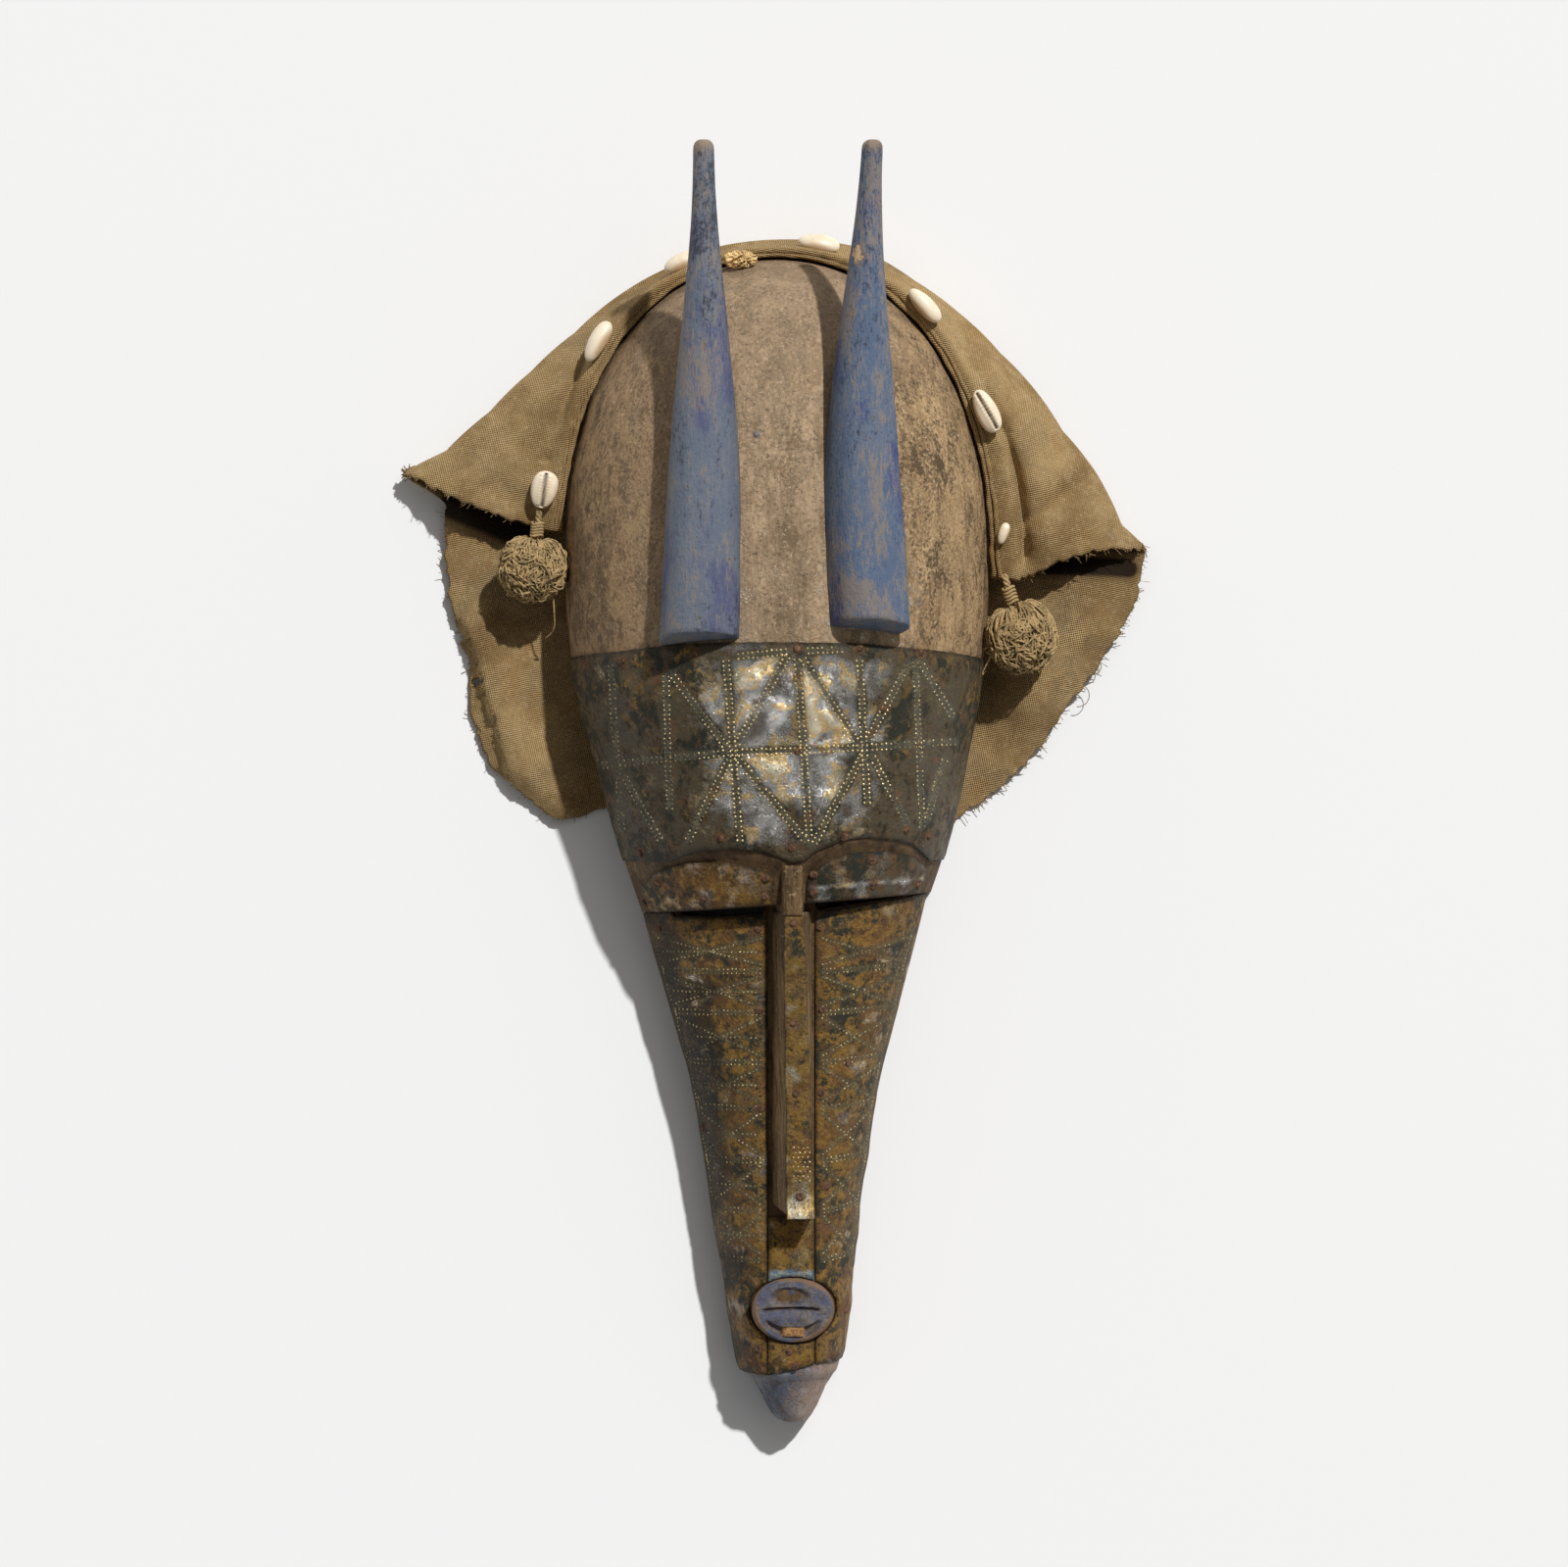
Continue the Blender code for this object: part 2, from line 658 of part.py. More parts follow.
def build_cheek(name, side, seam, end, parts, material):
    """A cheek plate from the eye slit to the chin. side is -1 on the left and 1 on the right."""
    top = LEDGE - SLIT_HEIGHT
    edge = MOUTH[1]
    reach = MOUTH_RADII[1] + BARE_BOSS_GAP
    levels = [between(top, edge + reach, step / 9) for step in range(10)]
    levels += [edge + reach * share for share in (0.93, 0.75, 0.45, 0.0, -0.45, -0.75, -0.93, -1.0)]
    levels += [between(edge - reach, end, 0.5), end]
    outer = math.pi - SHEET_WRAP if side < 0 else SHEET_WRAP
    columns = 7
    grid = []
    for place, level in enumerate(levels):
        inner = turn_at(seam_at(level, seam, side), level, face_size, FACE_SQUARENESS)
        line = []
        for column in range(columns + 1):
            turn = between(outer, inner, (column / columns) ** 0.9)
            x = face_point(turn, level).x
            cut = LEFT_SLIT[0] if side < 0 else RIGHT_SLIT[1]
            past = ease(side * (x - cut) / SLIT_END + 0.2)
            upper = ledge_line(x) - CHEEK_TOP_INSET - SLIT_HEIGHT * (1.0 - past)
            y = level + (upper - top) * (1.0 - min(place / 3.0, 1.0))
            line.append(face_point(turn, y, SHEET_GAP))
        grid.append(line)
    return sheet_solid(name, grid, parts, material)


def build_strip(name, left, right, top, bottom, rows, parts, material):
    """A flat strip bent over the face between two seams. top and bottom give its edges at x."""
    grid = []
    columns = 4
    for row in range(rows + 1):
        line = []
        for column in range(columns + 1):
            x = between(left, right, column / columns)
            y = between(bottom(x), top(x), row / rows)
            turn = turn_at(x, y, face_size, FACE_SQUARENESS)
            line.append(face_point(turn, y, SHEET_GAP))
        grid.append(line)
    return sheet_solid(name, grid, parts, material)


def build_nose_strip(parts, material):
    rings = []
    for share in (0.0, 0.35, 0.7, 1.0):
        y = between(NOSE_TOP - STUB_LAP - GAP, NOSE_END, share)
        left, right = nose_face(y)
        front = nose_front(y)
        left_y = y + NOSE_END_BEVEL * 0.3 if share == 1.0 else y
        rings.append([
            (left, left_y, front - SHEET),
            (right, y, front - SHEET),
            (right, y, front),
            (left, left_y, front),
        ])
    return loft("nose_strip", rings, parts, material)


def mouth_edge(x, side):
    """Edge of the mouth's boss at x, with its clearance. side is 1 above and -1 below."""
    along = (x - MOUTH[0]) / (MOUTH_RADII[0] + BARE_BOSS_GAP)
    return MOUTH[1] + side * (MOUTH_RADII[1] + BARE_BOSS_GAP) * math.sqrt(max(0.0, 1.0 - along * along))


def outline_radius(bearing):
    bearing %= 360.0
    for (low, one), (high, two) in zip(CLOTH_OUTLINE, CLOTH_OUTLINE[1:]):
        if low <= bearing <= high:
            return between(one, two, (bearing - low) / (high - low))
    return CLOTH_OUTLINE[0][1]


def dome_radius(bearing, height):
    """Distance from the cloth's middle to the wood at this bearing and height."""
    angle = math.radians(bearing)
    low, high = 0.0, DOME_TOP
    for _ in range(30):
        radius = (low + high) / 2.0
        x = CLOTH_MIDDLE[0] + radius * math.cos(angle)
        y = CLOTH_MIDDLE[1] + radius * math.sin(angle)
        half, crown, middle = head_size(y)
        inside = y < DOME_TOP and abs(x - middle) < half
        if inside:
            rise = power_arc((x - middle) / half, HEAD_SQUARENESS)
            inside = head_back(y) + (crown - head_back(y)) * rise > height
        low, high = (radius, high) if inside else (low, radius)
    return (low + high) / 2.0


def cloth_point(bearing, radius, height):
    angle = math.radians(bearing)
    return (
        CLOTH_MIDDLE[0] + radius * math.cos(angle),
        CLOTH_MIDDLE[1] + radius * math.sin(angle),
        height,
    )


def rear_profile(bearing, folded):
    """Radius and height down the layer behind the dome, from near its middle to its edge."""
    outer = outline_radius(bearing)
    clear = FOLDED_CLEAR if folded else LOOSE_CLEAR
    rim = dome_radius(bearing, DOME_BACK + RIM_LIFT) + clear
    flat = CLOTH_LEVEL
    rise = PANEL_RISE * ease((outer - rim - PANEL_START) / PANEL_REACH)
    rim = min(rim, outer * 0.9)
    profile = [(rim * 0.4, flat), (rim * 0.8, flat), (rim, flat)]
    if folded:
        room = outer - rim
        profile.append((between(rim, outer, 0.5), flat))
        profile.append((outer - min(FOLD_RADIUS * 0.5, room * 0.3), FOLD_HEIGHT - FOLD_RADIUS))
        profile.append((outer, FOLD_HEIGHT))
    else:
        profile.append((between(rim, outer, 0.40), flat + rise * 0.55))
        profile.append((between(rim, outer, 0.75), flat + rise))
        profile.append((outer, flat + rise * 0.55))
    return profile


def flap_profile(share):
    """Bearing, radius and height from the fold up to the hem, at a share of the way round."""
    bearing = between(FLAP_START, FLAP_END, share)
    outer = outline_radius(bearing)
    hem_bearing = between(HEM_START, HEM_END, share)
    crest = math.sin(math.pi * share) ** 0.7
    hem = between(HEM_END_HEIGHT, HEM_TOP_HEIGHT, crest)
    inner = dome_radius(hem_bearing, hem) + HEM_CLEAR
    room = outer - inner
    width = min(HEM_WIDTH, room * 0.35)
    profile = [(bearing, outer - FOLD_RADIUS * 0.5, FOLD_HEIGHT + FOLD_RADIUS)]
    for step in (1, 2, 3):
        part = step / 4.0
        radius = between(outer - FOLD_RADIUS * 0.5, inner + width, part)
        height = between(FOLD_HEIGHT + FOLD_RADIUS, hem + HEM_RISE, part)
        height += FLAP_BULGE * min(room / FLAP_ROOM, 1.0) * math.sin(math.pi * part)
        profile.append((between(bearing, hem_bearing, part), radius, height))
    profile.append((hem_bearing, inner + width, hem + HEM_RISE))
    profile.append((hem_bearing, inner + width * 0.4, hem + HEM_RISE * 1.3))
    profile.append((hem_bearing, inner, hem - HEM_LIP))
    return profile


def build_cloth(parts, material):
    """One cloth: a layer behind the dome, folded at its edge into a flap that comes forward to the hem."""
    shape = bmesh.new()
    middle = shape.verts.new(cloth_point(0.0, 0.0, CLOTH_LEVEL))
    flap_columns = round(CLOTH_COLUMNS * (FLAP_END - FLAP_START) / 360.0)
    bearings = [between(FLAP_START, FLAP_END, step / flap_columns) for step in range(flap_columns + 1)]
    rest = CLOTH_COLUMNS - flap_columns
    bearings += [between(FLAP_END, 360.0, step / rest) for step in range(1, rest)]
    rear = []
    for place, bearing in enumerate(bearings):
        profile = rear_profile(bearing, place <= flap_columns)
        rear.append([shape.verts.new(cloth_point(bearing, *point)) for point in profile])
    for place, line in enumerate(rear):
        after = rear[(place + 1) % len(rear)]
        shape.faces.new((middle, line[0], after[0]))
        for step in range(len(line) - 1):
            shape.faces.new((line[step], line[step + 1], after[step + 1], after[step]))
    flap = []
    for place in range(flap_columns + 1):
        profile = flap_profile(place / flap_columns)
        line = [rear[place][-1]]
        line += [shape.verts.new(cloth_point(*point)) for point in profile]
        flap.append(line)
    for line, after in zip(flap, flap[1:]):
        for step in range(len(line) - 1):
            shape.faces.new((line[step], line[step + 1], after[step + 1], after[step]))
    cloth = finish_mesh("cloth_hood", shape, parts, material)
    thick = cloth.modifiers.new("thickness", "SOLIDIFY")
    thick.thickness = CLOTH
    thick.offset = 0.0
    thick.use_even_offset = True
    return cloth


def seat_on(host, name, place, parts, material):
    """An ellipsoid that lies on the host, tipped to follow it."""
    x, y, bearing, length, width, height = place
    tree = BVHTree.FromObject(host, bpy.context.evaluated_depsgraph_get())
    over = Vector((x, y, 2.0 * HORN_TIP_HEIGHT))
    seat, normal, _, _ = tree.ray_cast(over, Vector((0.0, 0.0, -1.0)))
    if normal.z < 0.0:
        normal = -normal
    long_axis = Vector((math.cos(math.radians(bearing)), math.sin(math.radians(bearing)), 0.0))
    across = normal.cross(long_axis).normalized()
    along = across.cross(normal).normalized()
    turn = Matrix((along, across, normal)).transposed()
    centre = seat + normal * (height / 2.0 + SOFT_GAP)
    radii = (length / 2.0, width / 2.0, height / 2.0)
    return ellipsoid(name, centre, radii, parts, material, (SHELL_SIDES, SHELL_RINGS), turn)


def main():
    parts, cutters = clear_scene()
    wood_paint = new_material("wood", (0.20, 0.13, 0.08), 0.6)
    brass = new_material("sheet_brass", (0.22, 0.16, 0.08), 0.4, 1.0)
    cloth_weave = new_material("cloth", (0.40, 0.29, 0.16), 0.9)
    shell = new_material("shell", (0.75, 0.66, 0.50), 0.35)
    yarn = new_material("yarn", (0.33, 0.26, 0.16), 0.95)

    wood = build_wood(parts, cutters, wood_paint)
    build_forehead(parts, brass)
    build_eyelid("left_eyelid_plate", LEFT_LID_EDGES, parts, brass)
    build_eyelid("right_eyelid_plate", RIGHT_LID_EDGES, parts, brass)
    build_cheek("left_cheek_plate", -1, LEFT_SEAM, CHEEK_END_LEFT, parts, brass)
    build_cheek("right_cheek_plate", 1, RIGHT_SEAM, CHEEK_END_RIGHT, parts, brass)
    build_nose_strip(parts, brass)
    seams = (LEFT_SEAM + SEAM_GAP, RIGHT_SEAM - SEAM_GAP)
    build_strip(
        "philtrum_strip",
        *seams,
        lambda x: NOSE_END - BARE_BOSS_GAP,
        lambda x: mouth_edge(x, 1),
        6,
        parts,
        brass,
    )
    build_strip(
        "chin_strip",
        *seams,
        lambda x: mouth_edge(x, -1),
        lambda x: between(CHEEK_END_LEFT, CHEEK_END_RIGHT, (x - seams[0]) / (seams[1] - seams[0])),
        4,
        parts,
        brass,
    )
    cloth = build_cloth(parts, cloth_weave)
    bpy.context.view_layer.update()
    for number, place in enumerate(COWRIES, start=1):
        seat_on(cloth, f"cowrie_{number}", place, parts, shell)
    seat_on(wood, "top_tuft", TOP_TUFT, parts, yarn)
    for name, (x, y, z, wide, tall, deep) in (
        ("left_pompom", LEFT_POMPOM),
        ("right_pompom", RIGHT_POMPOM),
    ):
        ellipsoid(name, (x, y, z), (wide, tall, deep), parts, yarn)


main()
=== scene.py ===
"""Looks of a carved wooden mask with horns, sheet brass, a cloth hood, shells and pompoms.

It lies on its back: X runs across the face, Y up to the horns and Z out through the nose. Sizes are in metres.
"""

import math
import random

import bmesh
import bpy
from bpy.props import FloatProperty, FloatVectorProperty, IntProperty, PointerProperty
from mathutils import Matrix, Vector, noise
from mathutils.bvhtree import BVHTree


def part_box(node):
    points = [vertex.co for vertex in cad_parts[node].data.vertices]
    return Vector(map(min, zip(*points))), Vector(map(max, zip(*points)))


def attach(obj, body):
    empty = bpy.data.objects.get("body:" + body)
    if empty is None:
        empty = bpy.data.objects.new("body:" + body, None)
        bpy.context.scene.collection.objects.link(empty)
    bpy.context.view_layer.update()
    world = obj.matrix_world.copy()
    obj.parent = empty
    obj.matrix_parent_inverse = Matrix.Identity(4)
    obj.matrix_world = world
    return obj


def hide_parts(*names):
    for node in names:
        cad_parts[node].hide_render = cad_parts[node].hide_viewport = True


bl_info = {
    "name": "Horned mask dressing",
    "version": (1, 0, 0),
    "blender": (4, 5, 0),
    "location": "View3D > Sidebar > Mask",
    "description": "Dresses the solid model of a horned mask in wood, brass, cloth, shell and yarn",
    "category": "Object",
}

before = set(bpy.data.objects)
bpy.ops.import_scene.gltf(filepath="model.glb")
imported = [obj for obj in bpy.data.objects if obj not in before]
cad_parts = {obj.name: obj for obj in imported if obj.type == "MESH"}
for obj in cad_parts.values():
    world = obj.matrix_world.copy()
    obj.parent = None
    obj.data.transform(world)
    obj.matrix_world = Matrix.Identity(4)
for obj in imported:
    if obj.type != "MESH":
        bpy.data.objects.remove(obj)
BODY = "root"

# Fits between the layers.
GAP = 0.0004
SHEET = 0.0008
SHEET_GAP = 0.0005
CLOTH = 0.0016

# The dome and the face: distance along Y, half width, crown height and centre line.
DOME_BACK = CLOTH + 2.0 * GAP
BACK_DROP = (-0.016, -0.038)
BACK_STEP = 0.0004
DOME_TOP = 0.2412
DOME_WIDEST = 0.1123
DOME_CREST = 0.100
PLAN_POWER = 2.2
PROFILE_POWER = 2.6
HEAD = (
    (0.1123, 0.0958, 0.1120, 0.0012),
    (0.0916, 0.0958, 0.1120, 0.0012),
    (0.0507, 0.0919, 0.1090, 0.0015),
    (0.0134, 0.0835, 0.1010, 0.0030),
    (-0.0227, 0.0743, 0.0905, 0.0040),
    (-0.0560, 0.0632, 0.0770, 0.0040),
)
FACE = (
    (-0.0400, 0.0655, 0.0655, 0.0040),
    (-0.0535, 0.0626, 0.0640, 0.0038),
    (-0.0996, 0.0501, 0.0585, 0.0044),
    (-0.1326, 0.0413, 0.0550, 0.0049),
    (-0.1789, 0.0338, 0.0505, 0.0050),
    (-0.2317, 0.0264, 0.0455, 0.0065),
    (-0.2602, 0.0218, 0.0416, 0.0068),
    (-0.2625, 0.0185, 0.0382, 0.0073),
    (-0.2710, 0.0142, 0.0330, 0.0078),
    (-0.2790, 0.0100, 0.0285, 0.0081),
    (-0.2825, 0.0072, 0.0250, 0.0082),
)
HEAD_SQUARENESS = 2.10
FACE_SQUARENESS = 2.30
DOME_WALL = 0.0090
LEDGE_WALL = 0.0175
FACE_WALL = 0.0075
FACE_HOLLOW_END = -0.2460

# The brow ledge, the arches over the eyes and the slits under it.
LEDGE = -0.0495
LEDGE_TILT = 0.070
LEDGE_MIDDLE = 0.004
LEAN_START = -0.014
EYE_RECESS = 0.0022
LEFT_BROW = (-0.0240, 0.0380, -0.0345, -0.0256, 2.5)
RIGHT_BROW = (0.0460, 0.0330, -0.0310, -0.0205, 2.5)
LEFT_LID = (-0.0260, 0.0360, -0.0460, -0.0308, 2.5)
RIGHT_LID = (0.0410, 0.0300, -0.0440, -0.0260, 3.0)
LEFT_LID_EDGES = (-0.0590, 0.0000)
RIGHT_LID_EDGES = (0.0142, 0.0650)
LID_LEVEL = -0.042
SLIT_HEIGHT = 0.0038
LEFT_SLIT = (-0.0449, -0.0034)
RIGHT_SLIT = (0.0180, 0.0600)

# The nose, the mouth and the horns.
NOSE_TOP = -0.0531
NOSE_END = -0.1881
NOSE_END_BEVEL = 0.0062
STUB_TOP = -0.0320
STUB_FRONT = 0.0885
NOSE_FRONT = (0.0840, 0.0700)
STUB_SIDES = (0.0005, 0.0136)
STUB_FACE = (0.0040, 0.0125)
NOSE_SIDES = (-0.0025, 0.0172)
NOSE_FACE_TOP = (0.0044, 0.0134)
NOSE_FACE_END = (0.0057, 0.0180)
MOUTH = (0.0083, -0.2303)
MOUTH_RADII = (0.0183, 0.0144)
MOUTH_FRONT = 0.0485
MOUTH_ROOT = 0.0360
HORN_HEIGHTS = (0.1040, 0.1160)
HORN_RADII = (0.0178, 0.0046)
HORN_TAPER = 1.30
HORN_FOOT_SLANT = 0.22
LEFT_HORN = (-0.0322, 0.0655, -0.0304, 0.2825, 0.0013)
RIGHT_HORN = (0.0411, 0.0712, 0.0428, 0.2825, -0.0036)

# Sheet edges.
FOREHEAD_TOP = 0.0653
FOREHEAD_TOP_DROP = 0.0056
SHEET_WRAP = math.radians(9)
LEFT_SEAM = -0.0028
RIGHT_SEAM = 0.0180
SEAM_GAP = 0.0005
CHEEK_END_LEFT = -0.2600
CHEEK_END_RIGHT = -0.2550
BOSS_GAP = 0.0006

# Punched lines on the forehead, end to end in millimetres.
FOREHEAD_LINES = (
    ((9.9, 57.7), (12.5, 20.3), (15.1, -19.9)),
    ((-74.7, 12.4), (-17.8, 17.8), (10.4, 18.6), (38.6, 19.9), (79.0, 22.8)),
    ((5.7, 59.0), (-15.7, 21.6)),
    ((12.5, 57.7), (36.0, 21.6)),
    ((-15.7, 15.6), (14.7, -22.0)),
    ((37.8, 16.5), (17.3, -21.6)),
    ((-20.3, 57.3), (-17.4, 18.0), (-14.5, -20.8)),
    ((36.4, 57.4), (40.0, -4.5)),
    ((-43.0, 50.7), (-20.4, 20.3)),
    ((-19.1, 14.4), (-36.9, -20.9)),
    ((-46.1, 50.7), (-44.7, -7.1)),
    ((-70.3, 55.9), (-66.0, -17.7)),
    ((-64.1, 6.7), (-48.8, -20.1)),
    ((40.8, 24.2), (57.6, 56.8)),
    ((60.6, 56.9), (63.8, -15.0)),
    ((63.7, 55.7), (77.3, 33.6)),
    ((42.1, 15.7), (58.0, -14.9)),
    ((73.9, 14.5), (65.6, -12.4)),
    ((-15.1, 59.2), (5.7, 61.1)),
    ((14.6, 61.5), (30.4, 62.5)),
)
FOREHEAD_NAILS = (
    (-82.7, 56.4), (-64.9, 57.9), (-33.5, 60.4), (9.9, 62.6), (36.8, 63.0), (63.2, 61.2), (10.4, 18.2),
    (-22.6, -19.5), (7.8, -23.7), (30.1, -19.1), (57.1, -16.5), (67.0, -19.2), (-57.9, -26.4), (46.8, 36.6),
)
LID_NAILS = (
    (-50.4, -40.0), (-3.6, -37.1), (-56.0, -49.0), (-30.2, -46.8), (-3.8, -44.9),
    (17.0, -35.5), (17.0, -43.6), (42.3, -29.5), (42.8, -40.4), (62.6, -41.0),
)
CHEEK_NAILS = (
    (47.5, -57.1), (-49.5, -60.5), (19.8, -59.6), (20.6, -96.2), (20.4, -133.3), (22.3, -174.7), (-7.3, -60.4),
    (-6.5, -96.2), (-5.4, -140.2), (9.2, -255.6), (6.6, -249.1), (-5.7, -248.2), (-4.8, -257.0), (-9.6, -254.4),
    (29.9, -232.1), (24.6, -251.5), (31.5, -120.0), (-30.0, -150.5),
)
DOME_NAIL = (-0.0075, 0.1555)
NOSE_NAILS = ((8.3, -57.5), (8.3, -101.4), (9.6, -132.4), (11.4, -178.0))
CHEEK_ROWS = (-79.0, -97.5, -119.5, -140.0, -163.5, -186.0, -208.0)

# The cloth: middle, outline as bearing in degrees and radius, and the span of its front flap.
CLOTH_MIDDLE = (0.0044, 0.1098)
CLOTH_OUTLINE = (
    (0.0, 0.1626), (4.0, 0.1520), (14.0, 0.1442), (23.0, 0.1360), (42.0, 0.1312),
    (54.0, 0.1322), (64.0, 0.1342), (77.0, 0.1398), (90.0, 0.1392), (102.0, 0.1392),
    (111.0, 0.1370), (134.0, 0.1353), (145.0, 0.1390), (155.0, 0.1460), (164.0, 0.1583),
    (169.0, 0.1748), (172.0, 0.1542), (180.0, 0.1526), (190.0, 0.1522), (200.0, 0.1508),
    (207.0, 0.1592), (216.0, 0.1645), (226.0, 0.1604), (230.0, 0.1600), (236.0, 0.1400),
    (251.0, 0.1220), (270.0, 0.1140), (288.0, 0.1240), (302.0, 0.1440), (318.0, 0.1455),
    (331.0, 0.1457), (343.0, 0.1533), (352.0, 0.1610), (360.0, 0.1626),
)
FLAP_SPAN = (0.0, 169.0)
HEM_SPAN = (-8.0, 176.0)
HEM_HEIGHTS = (0.0200, 0.0440)
HEM_WIDTH = 0.0060
HEM_RISE = 0.0018
HEM_CLEAR = 0.0022
FOLD_HEIGHT = 0.0085
FOLD_RADIUS = 0.0045
FLAP_BULGE = 0.0090
PANEL_RISE = 0.0090
CLOTH_LEVEL = CLOTH / 2.0 + 0.0001

# Creases in the cloth, in millimetres: start, end, depth (a ridge where it is negative) and width.
FLAP_CREASES = (
    ((146.0, 146.0), (114.0, 121.0), 3.6, 3.6),
    ((142.0, 154.0), (118.0, 136.0), -2.2, 6.0),
    ((150.0, 128.0), (122.0, 112.0), -2.0, 6.0),
    ((-100.0, 150.0), (-96.0, 140.0), 3.0, 4.0),
    ((-128.0, 138.0), (-104.0, 124.0), 2.2, 6.0),
    ((-112.0, 168.0), (-92.0, 160.0), 1.8, 5.0),
    ((-60.0, 205.0), (-52.0, 222.0), 1.8, 5.0),
    ((72.0, 195.0), (92.0, 204.0), 1.6, 5.0),
)
PANEL_CREASES = (
    ((-132.0, 80.0), (-112.0, 8.0), -3.5, 6.0),
    ((-140.0, 95.0), (-118.0, 92.0), 2.5, 8.0),
    ((-118.0, 40.0), (-98.0, 22.0), 2.0, 6.0),
    ((150.0, 72.0), (112.0, 36.0), -3.0, 8.0),
    ((136.0, 62.0), (98.0, 20.0), 2.5, 7.0),
    ((128.0, 96.0), (108.0, 84.0), 2.0, 6.0),
)

# The raw edge of the left panel's front layer, long threads by bearing and length, holes by place and half
# sizes, and the flap's open ends with how far the painted shadow under them reaches.
PANEL_STEP = ((-141.0, 78.0), (-135.7, 64.2), (-131.3, 47.0), (-125.6, 32.4), (-118.5, 1.5), (-117.0, -12.0))
LONG_THREADS = (
    (-19.5, 0.0150), (-24.5, 0.0170), (-30.0, 0.0090), (-37.0, 0.0060), (192.5, 0.0080), (209.0, 0.0090),
)
PANEL_HOLES = (
    ((-142.5, 70.5), (2.6, 1.4)),
    ((-133.5, 50.0), (3.4, 1.6)),
    ((-140.0, 63.0), (1.2, 0.8)),
)
FLAP_ENDS = (
    ((114.0, 103.0), (160.0, 101.0), 6.5),
    ((-144.0, 130.0), (-112.0, 116.0), 11.0),
)

# The shells: place, bearing of the long axis in degrees, length, width, height and whether the mouth shows.
COWRIES = (
    (-0.1030, 0.1357, 76.0, 0.0170, 0.0132, 0.0074, True),
    (-0.0768, 0.1999, 62.0, 0.0200, 0.0104, 0.0074, False),
    (-0.0402, 0.2350, 20.0, 0.0170, 0.0100, 0.0070, False),
    (0.0197, 0.2428, -8.0, 0.0185, 0.0110, 0.0064, False),
    (0.0660, 0.2156, -46.0, 0.0190, 0.0100, 0.0072, False),
    (0.0943, 0.1699, -64.0, 0.0205, 0.0126, 0.0084, True),
    (0.1030, 0.1160, 70.0, 0.0100, 0.0060, 0.0040, False),
)

# The yarn balls: middle, half sizes and the knot on the hem that each hangs from. Then their loose ends.
POMPOMS = {
    "left_pompom": ((-0.1078, 0.1005, 0.0325), (0.0160, 0.0166, 0.0145), (-0.1050, 0.1255, 0.0335)),
    "right_pompom": ((0.1106, 0.0700, 0.0290), (0.0163, 0.0180, 0.0145), (0.1030, 0.0975, 0.0300)),
}
LOOSE_ENDS = {
    "left_pompom": (
        (-0.0990, 0.0900, 0.0330), (-0.0985, 0.0800, 0.0300), (-0.0990, 0.0730, 0.0240), (-0.1030, 0.0690, 0.0190),
    ),
    "right_pompom": (
        (0.0985, 0.0640, 0.0300), (0.0945, 0.0560, 0.0290), (0.0925, 0.0520, 0.0270), (0.0950, 0.0545, 0.0250),
    ),
}

# The lights stand along these ways from the mask. The camera hangs straight over the photo's middle.
KEY_PLACE = (0.42, 0.71, 1.0)
SOFT_PLACE = (0.60, 1.00, 2.1)
SOFT_SIZE = 0.9
CAMERA_PLACE = (0.0044, 0.0039)
LENS = 131.76
SENSOR = 36.0


def colour_setting(name, description, default):
    return FloatVectorProperty(
        name=name, description=description, default=default, subtype="COLOR", size=3, min=0.0, max=1.0
    )


def length_setting(name, description, default):
    return FloatProperty(name=name, description=description, default=default, unit="LENGTH", precision=5)


class WoodSettings(bpy.types.PropertyGroup):
    """Sizes and colours of the carved wood."""

    bare: colour_setting("Bare wood", "Dry wood on the dome", (0.455, 0.322, 0.200))
    dark: colour_setting("Dark wood", "Old dirt in the grain", (0.165, 0.112, 0.064))
    dust: colour_setting("Dust", "Pale crust on the wood", (0.56, 0.455, 0.32))
    brow: colour_setting("Brow wood", "Oiled wood of the brow and nose", (0.165, 0.098, 0.045))
    paint: colour_setting("Paint", "Worn blue paint", (0.085, 0.125, 0.205))
    deep_paint: colour_setting("Deep paint", "Blue paint where it is least worn", (0.024, 0.042, 0.170))
    chin: colour_setting("Chin paint", "Grey-blue paint of the chin and mouth", (0.200, 0.205, 0.225))
    carve: length_setting("Tool marks", "Depth of the carver's unevenness", 0.0005)


class BrassSettings(bpy.types.PropertyGroup):
    """Sizes and colours of the sheet brass."""

    metal: colour_setting("Metal", "Rubbed metal", (0.62, 0.61, 0.59))
    # warm is also the gold fringe of the painted highlights on bare metal.
    warm: colour_setting("Warm metal", "Rubbed metal with a yellow cast", (0.95, 0.70, 0.34))
    ochre: colour_setting("Ochre", "Yellow-brown tarnish", (0.370, 0.205, 0.042))
    brown: colour_setting("Brown", "Brown tarnish", (0.140, 0.070, 0.022))
    black: colour_setting("Black", "Green-black tarnish", (0.028, 0.030, 0.020))
    rust: colour_setting("Rust", "Stain round the nails", (0.170, 0.082, 0.040))
    grey: colour_setting("Grey", "Pale bloom", (0.330, 0.245, 0.115))
    gold: colour_setting("Gold", "Rubbed tops of the dots", (0.80, 0.64, 0.33))
    dot: length_setting("Dot radius", "Radius of a punched dot on the forehead", 0.00061)
    dot_step: length_setting("Dot spacing", "Distance between dots along a row", 0.00205)
    row_gap: length_setting("Row gap", "Distance between the rows of a double line", 0.0023)
    band: length_setting("Line width", "Reach of the dull metal beside a punched line", 0.0030)
    dent: length_setting("Dents", "Height of the hammered dents", 0.0014)
    nail: length_setting("Nail radius", "Radius of a nail head", 0.0017)


